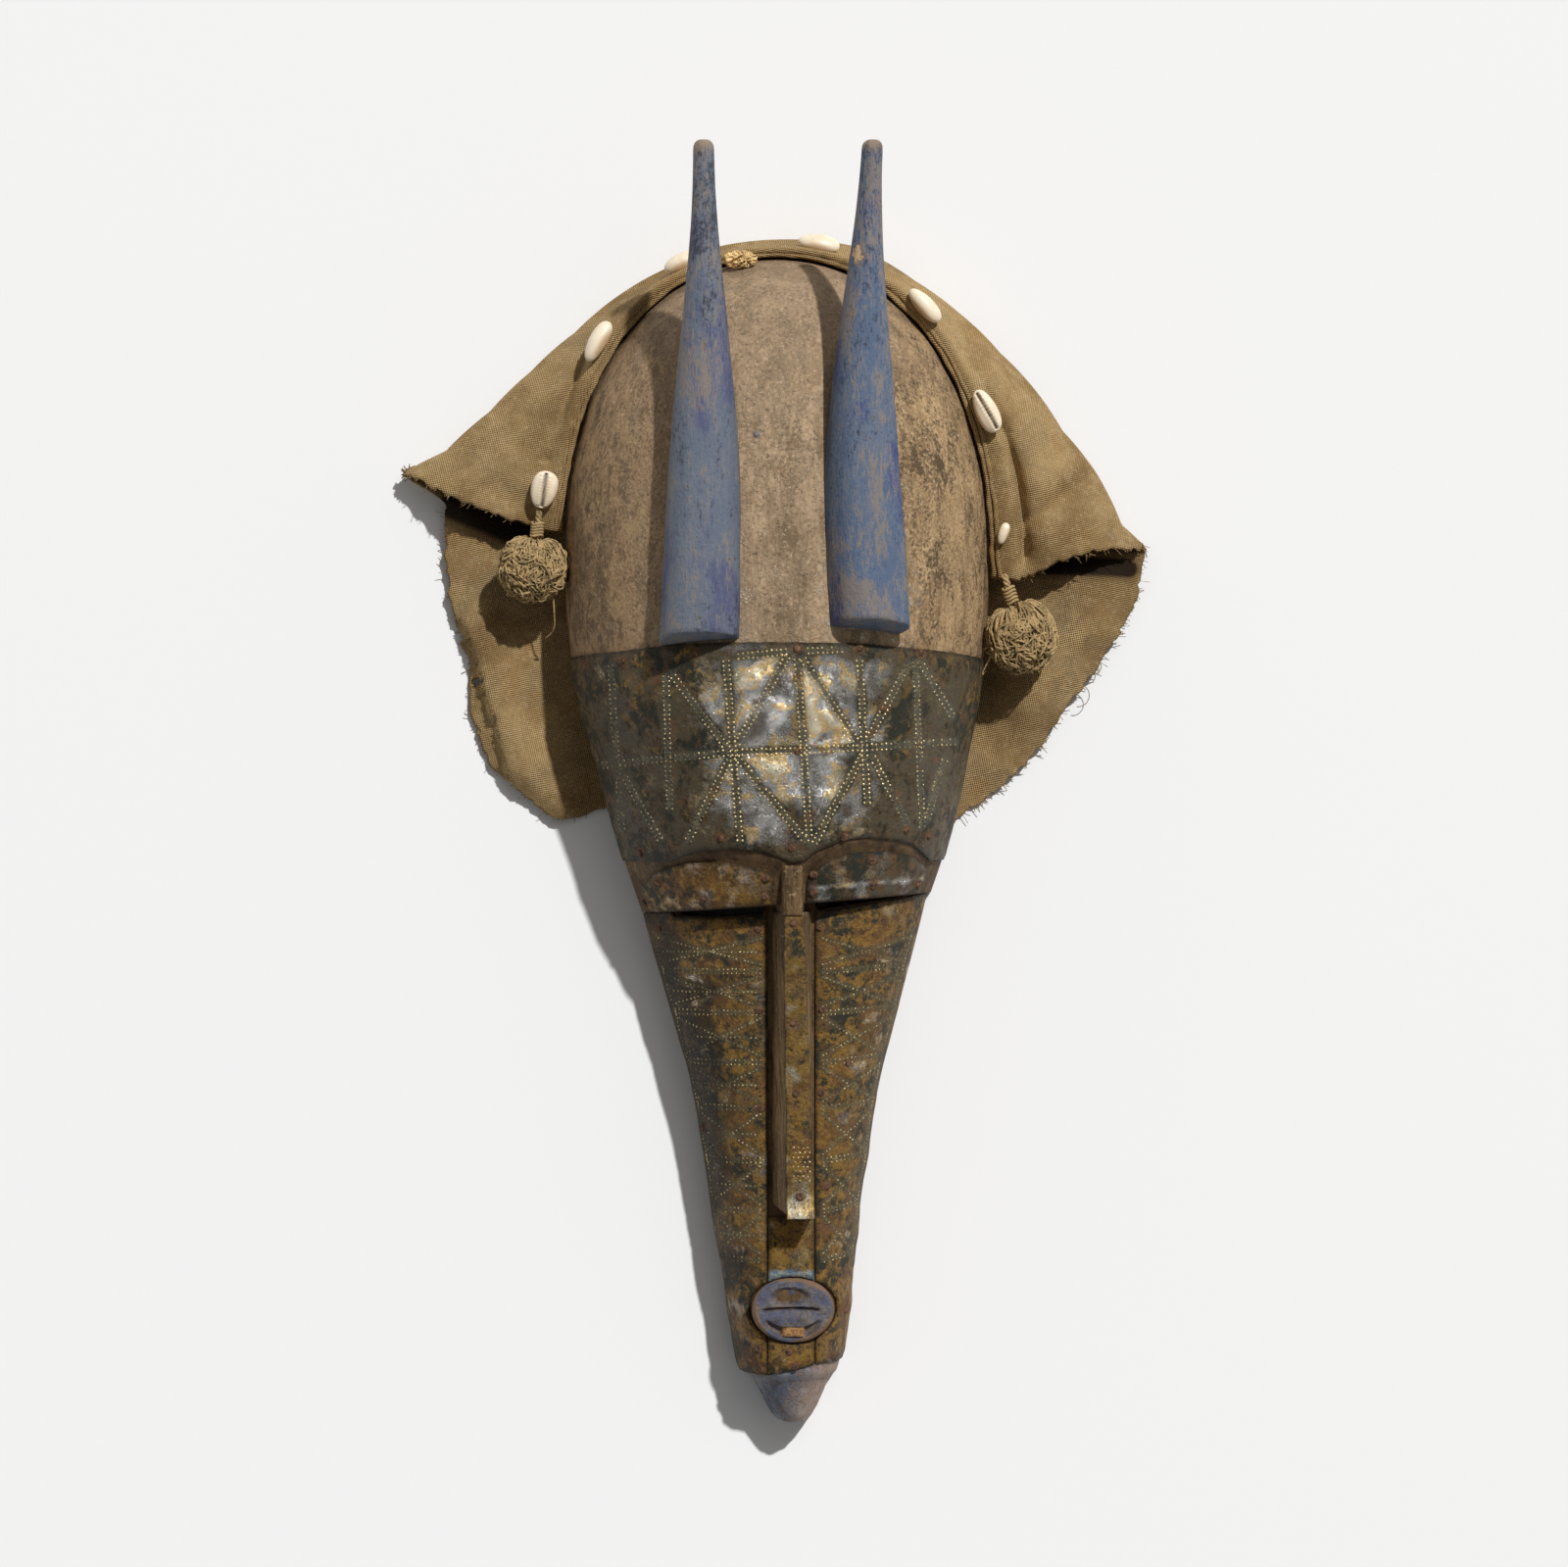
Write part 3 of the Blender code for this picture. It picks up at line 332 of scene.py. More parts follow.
class ClothSettings(bpy.types.PropertyGroup):
    """Sizes and colours of the cloth."""

    cloth: colour_setting("Cloth", "Colour of the cloth", (0.720, 0.500, 0.235))
    stain: colour_setting("Stain", "Colour of the dirt on it", (0.410, 0.265, 0.115))
    thread: length_setting("Thread", "Width of one thread with its gap", 0.00115)
    wrinkle: length_setting("Wrinkles", "Height of the small wrinkles", 0.0016)
    thickness: length_setting("Thickness", "Thickness of the cloth", 0.0012)
    fray: IntProperty(name="Frayed threads", description="Loose threads on the raw edges", default=760, min=0)


class SmallPartSettings(bpy.types.PropertyGroup):
    """Sizes and colours of the shells and the yarn."""

    shell: colour_setting("Shell", "Colour of the shells", (0.88, 0.76, 0.58))
    lip: colour_setting("Shell lip", "Darker colour round the shells' edges", (0.52, 0.33, 0.15))
    yarn: colour_setting("Yarn", "Colour of the yarn", (0.440, 0.310, 0.150))
    strand: length_setting("Strand radius", "Radius of one strand of yarn", 0.00044)
    loops: IntProperty(name="Loops", description="Loops of yarn in a pompom", default=330, min=10)


class StageSettings(bpy.types.PropertyGroup):
    """The floor, the lights and the camera."""

    floor: colour_setting("Floor", "Colour of the floor", (0.86, 0.86, 0.86))
    key: FloatProperty(name="Key light", description="Strength of the key light", default=3.22, min=0.0)
    key_size: FloatProperty(
        name="Key softness",
        description="Apparent size of the key light",
        default=math.radians(1.8),
        subtype="ANGLE",
    )
    fill: FloatProperty(name="Fill light", description="Strength of the soft light", default=3.0, min=0.0)
    sky: FloatProperty(name="Room light", description="Strength of the light all round", default=0.215, min=0.0)
    camera_height: length_setting("Camera height", "Height of the camera over the floor", 2.6)


class Tone:
    """A socket of a material's nodes. Sums on it add Math nodes."""

    def __init__(self, recipe, socket):
        self.recipe = recipe
        self.socket = socket

    def __add__(self, other):
        return self.recipe.sum("ADD", self, other)

    __radd__ = __add__

    def __sub__(self, other):
        return self.recipe.sum("SUBTRACT", self, other)

    def __rsub__(self, other):
        return self.recipe.sum("SUBTRACT", other, self)

    def __mul__(self, other):
        return self.recipe.sum("MULTIPLY", self, other)

    __rmul__ = __mul__


class Recipe:
    """One material and the nodes that make its finish. place is the spot on the object, in metres."""

    def __init__(self, name):
        self.material = bpy.data.materials.new(name)
        self.material.use_nodes = True
        self.tree = self.material.node_tree
        self.shader = self.tree.nodes["Principled BSDF"]
        self.place = self.node("ShaderNodeTexCoord", out="Object")

    def connect(self, value, socket):
        if isinstance(value, Tone):
            self.tree.links.new(value.socket, socket)
        elif socket.type == "RGBA":
            socket.default_value = (*value, 1.0)
        else:
            socket.default_value = value

    def node(self, kind, settings=None, inputs=None, out=0):
        """Adds a node: its settings first, then its sockets. Gives the socket that comes out of it."""
        node = self.tree.nodes.new(kind)
        for name, value in (settings or {}).items():
            setattr(node, name, value)
        for name, value in (inputs or {}).items():
            self.connect(value, node.inputs[name])
        return Tone(self, node.outputs[out])

    def sum(self, operation, one, two):
        return self.node("ShaderNodeMath", {"operation": operation}, {0: one, 1: two})

    def across(self, axis):
        """The spot's X, Y or Z."""
        return self.node("ShaderNodeSeparateXYZ", None, {0: self.place}, axis)

    def cloud(self, scale, detail, roughness, distortion=0.0, stretch=None):
        """Cloudy noise between 0 and 1, drawn out along an axis where stretch is small."""
        place = self.place
        if stretch:
            place = self.node("ShaderNodeVectorMath", {"operation": "MULTIPLY"}, {0: place, 1: stretch})
        sockets = {"Vector": place, "Scale": scale, "Detail": detail, "Roughness": roughness}
        return self.node("ShaderNodeTexNoise", None, {**sockets, "Distortion": distortion})

    def cells(self, scale):
        return self.node("ShaderNodeTexVoronoi", {"feature": "F1"}, {"Vector": self.place, "Scale": scale})

    def step(self, value, low, high, start=0.0, end=1.0):
        """A soft step from start at low to end at high."""
        return self.node(
            "ShaderNodeMapRange",
            {"interpolation_type": "SMOOTHSTEP", "clamp": True},
            {"Value": value, "From Min": low, "From Max": high, "To Min": start, "To Max": end},
        )

    def mix(self, factor, one, two):
        settings = {"data_type": "RGBA", "clamp_factor": True}
        return self.node("ShaderNodeMix", settings, {0: factor, 6: one, 7: two}, 2)

    def coat(self, under, value, low, high, colour, most=1.0):
        """Colour laid over under as value goes from low to high, up to a share of most."""
        return self.mix(self.step(value, low, high, 0.0, most), under, colour)

    def marks(self, channel):
        """One channel of the marks that the mesh carries."""
        out = "Alpha" if channel == 3 else "Color"
        carried = self.node("ShaderNodeAttribute", {"attribute_name": "marks"}, None, out)
        return carried if channel == 3 else self.node("ShaderNodeSeparateColor", None, {0: carried}, channel)

    def finish(self, colour, roughness, metallic=0.0, height=None, depth=0.001, **constants):
        self.connect(colour, self.shader.inputs["Base Color"])
        self.connect(roughness, self.shader.inputs["Roughness"])
        self.connect(metallic, self.shader.inputs["Metallic"])
        for name, value in constants.items():
            self.shader.inputs[name.replace("_", " ")].default_value = value
        if height is not None:
            bump = self.node("ShaderNodeBump", None, {"Strength": 1.0, "Distance": depth, "Height": height})
            self.connect(bump, self.shader.inputs["Normal"])
        return self.material


def bare_wood(name, wood, painted_chin=False):
    """Dry carved wood with dirt in the grain and a pale crust."""
    mix = Recipe(name)
    along = (1.0, 0.16, 1.0)
    grain = mix.cloud(520.0, 4.0, 0.65, stretch=along)
    streak = mix.cloud(95.0, 6.0, 0.70, stretch=(1.0, 0.24, 1.0))
    patch = mix.cloud(24.0, 6.0, 0.70, 0.4)
    speck = mix.cloud(640.0, 3.0, 0.78)
    crumb = mix.cloud(210.0, 6.0, 0.78, stretch=(1.0, 0.7, 1.0))
    blot = mix.cloud(66.0, 7.0, 0.80, stretch=(1.0, 0.7, 1.0))
    x = mix.across(0)
    y = mix.across(1)
    body = mix.coat(wood.dark[:], streak * 0.45 + patch * 0.3 + crumb * 0.25, 0.37, 0.57, wood.bare[:])
    body = mix.mix(mix.step(grain, 0.34, 0.58, 0.40, 0.0), body, wood.dark[:])
    crust = mix.step(speck * 0.30 + crumb * 0.40 + patch * 0.30, 0.50, 0.60)
    body = mix.mix(crust * 0.55, body, wood.dust[:])
    orange = mix.step(patch * 0.5 + crumb * 0.3 + streak * 0.2, 0.52, 0.60)
    body = mix.mix(orange * 0.45, body, (0.36, 0.205, 0.085))
    right = mix.step(x, 0.028, 0.066)
    warm = mix.coat((0.200, 0.122, 0.052), crumb * 0.5 + streak * 0.5, 0.40, 0.58, (0.50, 0.325, 0.150))
    body = mix.mix(right * 0.65, body, warm)
    spots = mix.step(blot * 0.50 + crumb * 0.25 + speck * 0.25, 0.480, 0.570) * (right * 0.55 + 0.34)
    body = mix.mix(spots, body, (0.085, 0.055, 0.030))
    left = mix.step(x, -0.030, -0.080)
    tone = mix.coat((0.095, 0.060, 0.032), blot * 0.5 + crumb * 0.5, 0.42, 0.57, (0.52, 0.325, 0.165))
    body = mix.mix(left * 0.65, body, tone)
    body = mix.coat(body, speck, 0.57, 0.68, (0.080, 0.052, 0.030), 0.60)
    body = mix.coat(body, speck, 0.42, 0.30, (0.60, 0.50, 0.36), 0.55)
    for foot_x, foot_y, *_ in (LEFT_HORN, RIGHT_HORN):
        away_x, away_y = (x - foot_x) * 36.0, (y - foot_y - 0.012) * 30.0
        near = mix.step(away_x * away_x + away_y * away_y, 1.0, 0.15)
        body = mix.mix(near * mix.step(speck * 0.5 + crumb * 0.5, 0.53, 0.60), body, (0.72, 0.66, 0.55))
    brow = mix.step(y, -0.004, -0.024)
    oiled = mix.coat((0.050, 0.029, 0.014), streak * 0.5 + crumb * 0.5, 0.38, 0.60, wood.brow[:])
    body = mix.mix(brow, body, oiled)
    if painted_chin:
        warmth = mix.step(x * 1.2 - y * 0.5 + patch * 0.03, 0.155, 0.175)
        paint = mix.coat(wood.chin[:], crumb * 0.5 + patch * 0.5, 0.42, 0.58, (0.105, 0.120, 0.170))
        paint = mix.coat(paint, crumb, 0.50, 0.62, (0.25, 0.190, 0.140), 0.7)
        paint = mix.coat(paint, speck, 0.56, 0.70, (0.055, 0.050, 0.055), 0.5)
        paint = mix.mix(warmth * 0.75, paint, (0.38, 0.265, 0.185))
        body = mix.coat(body, y, -0.2515, -0.2545, paint)
    roughness = 0.70 + patch * 0.25 - brow * 0.12
    height = grain * 0.35 + speck * 0.40 + crust * 0.45 + crumb * 0.35 + streak * 0.2
    crown = mix.step(mix.across(1), 0.150, 0.235, 0.0, 0.40)
    body = mix.mix(crown, body, (0.290, 0.205, 0.125))
    blot = mix.cloud(36.0, 5.0, 0.72, 0.5)
    west = mix.step(mix.across(0), -0.005, -0.060)
    soil = blot * 0.7 + speck * 0.3
    body = mix.mix(west * mix.step(soil, 0.51, 0.60, 0.0, 0.55), body, (0.140, 0.092, 0.050))
    body = mix.mix(west * mix.step(soil, 0.47, 0.40, 0.0, 0.55), body, (0.50, 0.34, 0.17))
    return mix.finish(body, roughness, 0.0, height, 0.0007, Specular_IOR_Level=0.22)


def worn_paint(name, wood):
    """Blue paint rubbed back to the wood on the horns, with painted shade under them by the foot."""
    mix = Recipe(name)
    along = (1.0, 0.16, 1.0)
    grain = mix.cloud(620.0, 5.0, 0.72, stretch=along)
    wear = mix.cloud(130.0, 7.0, 0.78, stretch=(1.0, 0.22, 1.0))
    patch = mix.cloud(42.0, 6.0, 0.66, 0.5, stretch=(1.0, 0.42, 1.0))
    speck = mix.cloud(420.0, 5.0, 0.78)
    x = mix.across(0)
    y = mix.across(1)
    z = mix.across(2)
    fine = mix.cloud(1150.0, 4.0, 0.75, stretch=(1.0, 0.20, 1.0))
    high = mix.step(y, 0.150, 0.265)
    lower = mix.step(x * 1.6 - y * 0.4, 0.02, 0.09, 0.0, 0.10)
    inner = mix.step(y, 0.150, 0.175) * mix.step(y, 0.240, 0.215)
    inner = inner * mix.step(x, -0.026, -0.018) * mix.step(x, 0.0, -0.005)
    deep = mix.step(patch + lower + inner * 0.12, 0.52, 0.64)
    paint = mix.mix(deep, wood.paint[:], wood.deep_paint[:])
    pale = mix.step(wear * 0.5 + speck * 0.3 + fine * 0.2, 0.44, 0.60)
    paint = mix.mix(pale * 0.50, paint, (0.200, 0.215, 0.240))
    paint = mix.coat(paint, mix.across(0), 0.015, -0.015, (0.215, 0.210, 0.200), 0.30)
    area = mix.cloud(52.0, 5.0, 0.7, 0.6, stretch=(1.0, 0.45, 1.0))
    worn = mix.step(area * 0.42 + wear * 0.26 + fine * 0.32 + high * 0.045 - deep * 0.02, 0.505, 0.565)
    paint = mix.mix(worn * 0.62, paint, (0.280, 0.210, 0.145))
    dirt = mix.step(fine * 0.30 + speck * 0.30 + area * 0.40 - high * 0.040, 0.460, 0.395)
    paint = mix.mix(dirt * 0.80, paint, (0.030, 0.027, 0.034))
    bare = mix.coat((0.130, 0.080, 0.050), grain, 0.38, 0.60, (0.46, 0.300, 0.165))
    chips = mix.step(wear * 0.45 + speck * 0.55 + high * 0.040, 0.600, 0.630)
    paint = mix.mix(chips * 0.9, paint, bare)
    tip = mix.step(y + speck * 0.008, 0.279, 0.2865)
    paint = mix.mix(tip * 0.8, paint, (0.33, 0.235, 0.145))
    chip_x, chip_y = (x - 0.0365) * 330.0, (y - 0.2325) * 170.0
    chip = mix.step(chip_x * chip_x + chip_y * chip_y + speck * 5.0 + wear * 2.0, 3.95, 3.75)
    paint = mix.mix(chip, paint, (0.62, 0.41, 0.22))
    # Painted shade: the undersides near the foot, where the horn meets the dome, turn almost black.
    under = mix.step(z, 0.098, 0.088)
    paint = mix.mix(under * 0.8, paint, (0.035, 0.027, 0.026))
    height = fine * 0.6 + speck * 0.7 - chips * 0.8 - chip * 1.0
    return mix.finish(paint, 0.50 + speck * 0.3 + chips * 0.2, 0.0, height, 0.0008, Specular_IOR_Level=0.40)


def mouth_paint(name):
    """Grey-blue paint with a rusty rim, painted shade in the slit and hollows, and a bare block under the lower
    lip.
    """
    mix = Recipe(name)
    patch = mix.cloud(150.0, 5.0, 0.65)
    speck = mix.cloud(620.0, 4.0, 0.7)
    paint = mix.coat((0.085, 0.095, 0.150), patch, 0.40, 0.60, (0.165, 0.145, 0.135))
    paint = mix.coat(paint, speck, 0.46, 0.62, (0.080, 0.060, 0.048), 0.65)
    rim = mix.marks(0)
    crusty = mix.step(rim + (patch - 0.5) * 1.3 + (speck - 0.5) * 0.9, 0.45, 0.80)
    paint = mix.mix(crusty * 0.85, paint, (0.20, 0.115, 0.060))
    # Painted shade: the slit, the hollow over the upper lip and the undercut under the lower lip go dark.
    hollow = mix.coat((0.035, 0.026, 0.018), patch, 0.42, 0.58, (0.120, 0.072, 0.036))
    paint = mix.mix(mix.marks(1) * mix.step(speck, 0.30, 0.55, 0.6, 1.0), paint, hollow)
    block = mix.coat((0.22, 0.105, 0.040), speck, 0.40, 0.60, (0.44, 0.235, 0.085))
    paint = mix.mix(mix.marks(2), paint, block)
    return mix.finish(paint, 0.45 + speck * 0.3, 0.0, patch * 0.5 + speck * 0.9, 0.0010, Specular_IOR_Level=0.3)


def aged_brass(name, brass, rubbed, yellow, green, blue_end=False, line=(0.155, 0.122, 0.060), bare_metal=None):
    """Sheet brass under tarnish. rubbed, yellow and green set how much of each shows."""
    bare_metal = bare_metal or brass.metal[:]
    mix = Recipe(name)
    big = mix.cloud(48.0, 6.0, 0.72, 0.5)
    other = mix.cloud(78.0, 7.0, 0.76, 0.4, stretch=(1.0, -1.0, 1.3))
    middle = mix.cloud(230.0, 6.0, 0.75)
    speck = mix.cloud(720.0, 4.0, 0.78)
    pits = mix.cells(760.0)
    rust_mark = mix.marks(0)
    shine = mix.marks(1)
    grime = mix.marks(2)
    band = mix.marks(3)
    tarnish = mix.coat(brass.black[:], big * 0.75 + middle * 0.25, 0.44, 0.55, brass.brown[:])
    gold = mix.step(other * 0.65 + middle * 0.35 - band * 0.06, 0.575 - yellow * 0.13, 0.635 - yellow * 0.12)
    ochre = mix.coat((0.125, 0.068, 0.018), middle * 0.6 + speck * 0.4, 0.40, 0.60, brass.ochre[:])
    tarnish = mix.mix(gold * 0.90, tarnish, ochre)
    olive = mix.step(middle * 0.4 + big * 0.6, 0.62 - green * 0.14, 0.69 - green * 0.14)
    tarnish = mix.mix(olive * 0.70, tarnish, (0.060, 0.066, 0.048))
    tarnish = mix.mix(band * mix.step(speck * 0.5 + middle * 0.5, 0.38, 0.56, 0.35, 0.85), tarnish, line)
    bloom = mix.step(speck * 0.45 + middle * 0.35 + other * 0.20 + band * 0.055, 0.530, 0.600)
    tarnish = mix.mix(bloom * 0.42, tarnish, brass.grey[:])
    pepper = mix.step(speck * 0.55 + middle * 0.45, 0.465, 0.385)
    tarnish = mix.mix(pepper * 0.85, tarnish, (0.018, 0.014, 0.009))
    clear = shine + (other - 0.5) * 1.2 + (middle - 0.5) * 0.5 - band * 0.55 + rubbed * 0.2
    bare = mix.step(clear, 0.30, 0.85)
    # Painted highlights: as the soft noise rises the bare metal goes from its own tone to gold and then cream,
    # which stand for glints of light on the dents.
    soft = mix.cloud(92.0, 2.0, 0.45, 0.3)
    metal_tone_and_glint = soft * 0.80 + middle * 0.20 + shine * 0.03
    lustre = mix.coat((0.270, 0.255, 0.225), metal_tone_and_glint, 0.38, 0.52, bare_metal)
    lustre = mix.coat(lustre, metal_tone_and_glint, 0.530, 0.580, brass.warm[:])
    lustre = mix.coat(lustre, metal_tone_and_glint, 0.585, 0.640, (1.0, 0.90, 0.68))
    face = mix.mix(bare, tarnish, lustre)
    rusty = mix.cloud(105.0, 3.0, 0.6, 0.4)
    face = mix.coat(face, rusty * 0.8 + speck * 0.2, 0.565, 0.640, brass.rust[:], 0.55)
    stain = mix.step(rust_mark + (speck - 0.5) * 0.5 + (middle - 0.5) * 0.9, 0.42, 0.85)
    face = mix.mix(stain * 0.75, face, brass.rust[:])
    if blue_end:
        x = mix.across(0)
        y = mix.across(1)
        edge = mix.step(y + middle * 0.004, -0.2095, -0.2120) * mix.step(x, 0.0205, 0.0175)
        paint = mix.coat((0.135, 0.200, 0.285), middle, 0.40, 0.60, (0.46, 0.50, 0.46))
        face = mix.mix(edge * mix.step(speck, 0.30, 0.45), face, paint)
    face = mix.mix(grime * mix.step(speck, 0.35, 0.6, 0.5, 1.0), face, (0.018, 0.015, 0.010))
    metallic = mix.step(bare + gold * 0.30 - stain * 0.8 - bloom * 0.4, 0.0, 0.9, 0.05, 0.95)
    roughness = 0.50 + speck * 0.20 - bare * 0.34 + stain * 0.15 - olive * 0.16 - gold * 0.06
    height = middle * 0.8 + speck * 0.4 + bloom * 0.35 - mix.step(pits, 0.10, 0.30) * 0.25 + soft * 3.2 * bare
    return mix.finish(face, roughness, metallic, height, 0.0010, Specular_IOR_Level=0.18)


def dot_brass(name, brass, bright):
    """Tops of the punched dots, rubbed bright."""
    mix = Recipe(name)
    patch = mix.cloud(90.0, 4.0, 0.65)
    speck = mix.cloud(700.0, 3.0, 0.7)
    worn = mix.step(patch * 0.6 + speck * 0.4, 0.62 - bright * 0.34, 0.74 - bright * 0.28)
    face = mix.mix(worn, (0.150, 0.132, 0.074), brass.gold[:])
    metallic = mix.step(worn, 0.0, 1.0, 0.25, 0.9)
    return mix.finish(face, 0.55 - worn * 0.15, metallic, speck, 0.0002, Specular_IOR_Level=0.25)


def rusty_iron(name):
    mix = Recipe(name)
    patch = mix.cloud(520.0, 4.0, 0.7)
    face = mix.coat((0.045, 0.028, 0.020), patch, 0.38, 0.60, (0.165, 0.085, 0.045))
    face = mix.coat(face, patch, 0.60, 0.72, (0.36, 0.225, 0.135))
    return mix.finish(face, 0.65 + patch * 0.2, 0.1, patch, 0.0005, Specular_IOR_Level=0.2)


def weave(name, cloth, edge_dark=0.0):
    """Plain weave of coarse thread with dirt and sun on it, and painted shadow where its marks carry it."""
    mix = Recipe(name)
    x = mix.across(0)
    y = mix.across(1)
    wander = mix.cloud(70.0, 3.0, 0.5)
    turns = 2.0 * math.pi / cloth.thread
    across = mix.sum("SINE", x * (turns * 0.82) + y * (turns * 0.57) + wander * 6.0, 0.0)
    down = mix.sum("SINE", y * (turns * 0.82) - x * (turns * 0.57) + wander * 6.0, 0.0)
    threads = across * down
    slub = mix.cloud(900.0, 3.0, 0.7, stretch=(1.0, 0.10, 1.0))
    slub_across = mix.cloud(900.0, 3.0, 0.7, stretch=(0.10, 1.0, 1.0))
    big = mix.cloud(19.0, 6.0, 0.66, 0.6)
    middle = mix.cloud(70.0, 6.0, 0.74)
    fine = mix.cloud(640.0, 3.0, 0.75)
    burnt = mix.cloud(33.0, 6.0, 0.70, 0.8)
    body = mix.coat(cloth.stain[:], big * 0.7 + middle * 0.3, 0.40, 0.58, cloth.cloth[:])
    body = mix.coat(body, middle, 0.50, 0.66, (0.74, 0.55, 0.31), 0.45)
    body = mix.coat(body, big, 0.52, 0.64, (0.400, 0.290, 0.150), 0.7)
    body = mix.coat(body, burnt, 0.52, 0.64, (0.520, 0.300, 0.115), 0.55)
    body = mix.coat(body, burnt, 0.44, 0.34, (0.330, 0.245, 0.130), 0.55)
    body = mix.mix(mix.step(slub * 0.5 + slub_across * 0.5, 0.42, 0.58, 0.25, 0.0), body, cloth.stain[:])
    body = mix.coat(body, threads, 0.35, -0.60, (0.170, 0.100, 0.040), 0.62)
    body = mix.coat(body, fine, 0.54, 0.68, (0.80, 0.61, 0.37), 0.40)
    # The marks darken it with dirt and with painted shadow behind the flap's open ends.
    body = mix.coat(body, mix.marks(0) + edge_dark, 0.0, 1.0, (0.215, 0.140, 0.064), 0.7)
    body = mix.coat(body, mix.marks(0), 0.85, 1.15, (0.035, 0.024, 0.014))
    height = threads * 0.55 + slub * 0.6 + slub_across * 0.6
    return mix.finish(body, 0.92, 0.0, height, 0.0008, Sheen_Weight=0.0, Specular_IOR_Level=0.08)


def cowrie_glaze(name, small):
    mix = Recipe(name)
    patch = mix.cloud(180.0, 4.0, 0.6)
    speck = mix.cloud(900.0, 3.0, 0.6)
    face = mix.coat(small.shell[:], patch, 0.40, 0.68, (0.74, 0.56, 0.35), 0.45)
    face = mix.mix(mix.marks(0), face, small.lip[:])
    face = mix.coat(face, speck, 0.58, 0.72, (0.45, 0.36, 0.25), 0.4)
    # Painted shade: the shallow mouth groove goes almost black, as if it opened into the dark shell.
    face = mix.mix(mix.marks(1), face, (0.045, 0.028, 0.016))
    return mix.finish(face, 0.34 + patch * 0.2, 0.0, patch * 0.4 + speck * 0.2, 0.0003, Coat_Roughness=0.2)


def yarn_fibre(name, small, lighter=1.0):
    mix = Recipe(name)
    patch = mix.cloud(170.0, 4.0, 0.6)
    fibre = mix.cloud(1500.0, 3.0, 0.7)
    dark, body, pale = (tuple(value * share * lighter for value in small.yarn) for share in (0.36, 1.0, 1.40))
    face = mix.coat(dark, patch, 0.34, 0.60, body)
    face = mix.coat(face, fibre, 0.46, 0.66, pale)
    return mix.finish(face, 0.95, 0.0, fibre, 0.0005, Sheen_Weight=0.0, Specular_IOR_Level=0.1)


def between(low, high, share):
    return low + (high - low) * share


def ease(share):
    share = min(max(share, 0.0), 1.0)
    return share * share * (3.0 - 2.0 * share)


def power_arc(share, power):
    return max(0.0, 1.0 - min(abs(share), 1.0) ** power) ** (1.0 / power)


def arch(x, shape):
    middle, half, low, high, power = shape
    return between(low, high, 1.0 - min(abs((x - middle) / half), 1.0) ** power)


def smooth_station(stations, y):
    """Values at y on a curve through the stations that never overshoots them."""
    y = min(max(y, stations[-1][0]), stations[0][0])
    place = 0
    while place < len(stations) - 2 and y < stations[place + 1][0]:
        place += 1

    def slope(index, column):
        if index in (0, len(stations) - 1):
            near = 1 if index == 0 else index - 1
            step = stations[near][0] - stations[index][0]
            return (stations[near][column] - stations[index][column]) / step
        before, here, after = stations[index - 1 : index + 2]
        one = (here[column] - before[column]) / (here[0] - before[0])
        two = (after[column] - here[column]) / (after[0] - here[0])
        return 0.0 if one * two <= 0.0 else 2.0 * one * two / (one + two)

    start, end = stations[place], stations[place + 1]
    span = end[0] - start[0]
    share = (y - start[0]) / span
    found = []
    for column in range(1, len(start)):
        one, two = slope(place, column) * span, slope(place + 1, column) * span
        found.append(
            (1.0 + 2.0 * share) * (1.0 - share) ** 2 * start[column]
            + share * (1.0 - share) ** 2 * one
            + share**2 * (3.0 - 2.0 * share) * end[column]
            + share**2 * (share - 1.0) * two
        )
    return found


def smooth_row(nodes, steps):
    """Points on a smooth curve through the nodes, each a tuple of numbers."""
    ends = [nodes[0]] + list(nodes) + [nodes[-1]]
    found = []
    for place in range(len(nodes) - 1):
        before, one, two, after = ends[place : place + 4]
        for step in range(steps):
            t = step / steps
            found.append(tuple(
                0.5 * (2.0 * b + (c - a) * t + (2.0 * a - 5.0 * b + 4.0 * c - d) * t * t
                       + (3.0 * b - a - 3.0 * c + d) * t**3)
                for a, b, c, d in zip(before, one, two, after)
            ))
    found.append(tuple(nodes[-1]))
    return found


def rough(point, scale, seed=0.0):
    """Smooth noise between about -1 and 1."""
    return noise.noise(Vector(point) * scale + Vector((seed, seed * 1.7, seed * 0.6)))


def head_size(y):
    half, crown, middle = smooth_station(HEAD, y)
    if y > DOME_WIDEST:
        half *= power_arc((y - DOME_WIDEST) / (DOME_TOP - DOME_WIDEST), PLAN_POWER)
    if y > DOME_CREST:
        rise = power_arc((y - DOME_CREST) / (DOME_TOP - DOME_CREST), PROFILE_POWER)
        crown = between(DOME_BACK, crown, rise)
    return half, crown, middle


def face_size(y):
    return smooth_station(FACE, y)


def head_back(y):
    return between(DOME_BACK, BACK_STEP, ease((BACK_DROP[0] - y) / (BACK_DROP[0] - BACK_DROP[1])))


def ledge_line(x):
    return LEDGE + LEDGE_TILT * (x - LEDGE_MIDDLE)


def brow_line(x):
    return max(arch(x, LEFT_BROW), arch(x, RIGHT_BROW))


def lid_line(x):
    return max(arch(x, LEFT_LID), arch(x, RIGHT_LID))


def eye_recess(x, y):
    top, bottom = brow_line(x), lid_line(x)
    return EYE_RECESS * ease((top - y) / max(top - bottom, 0.002))


def arc_point(turn, half, height, squareness):
    power = 2.0 / squareness
    across, up = math.cos(turn), math.sin(turn)
    return math.copysign(abs(across) ** power, across) * half, max(up, 0.0) ** power * height


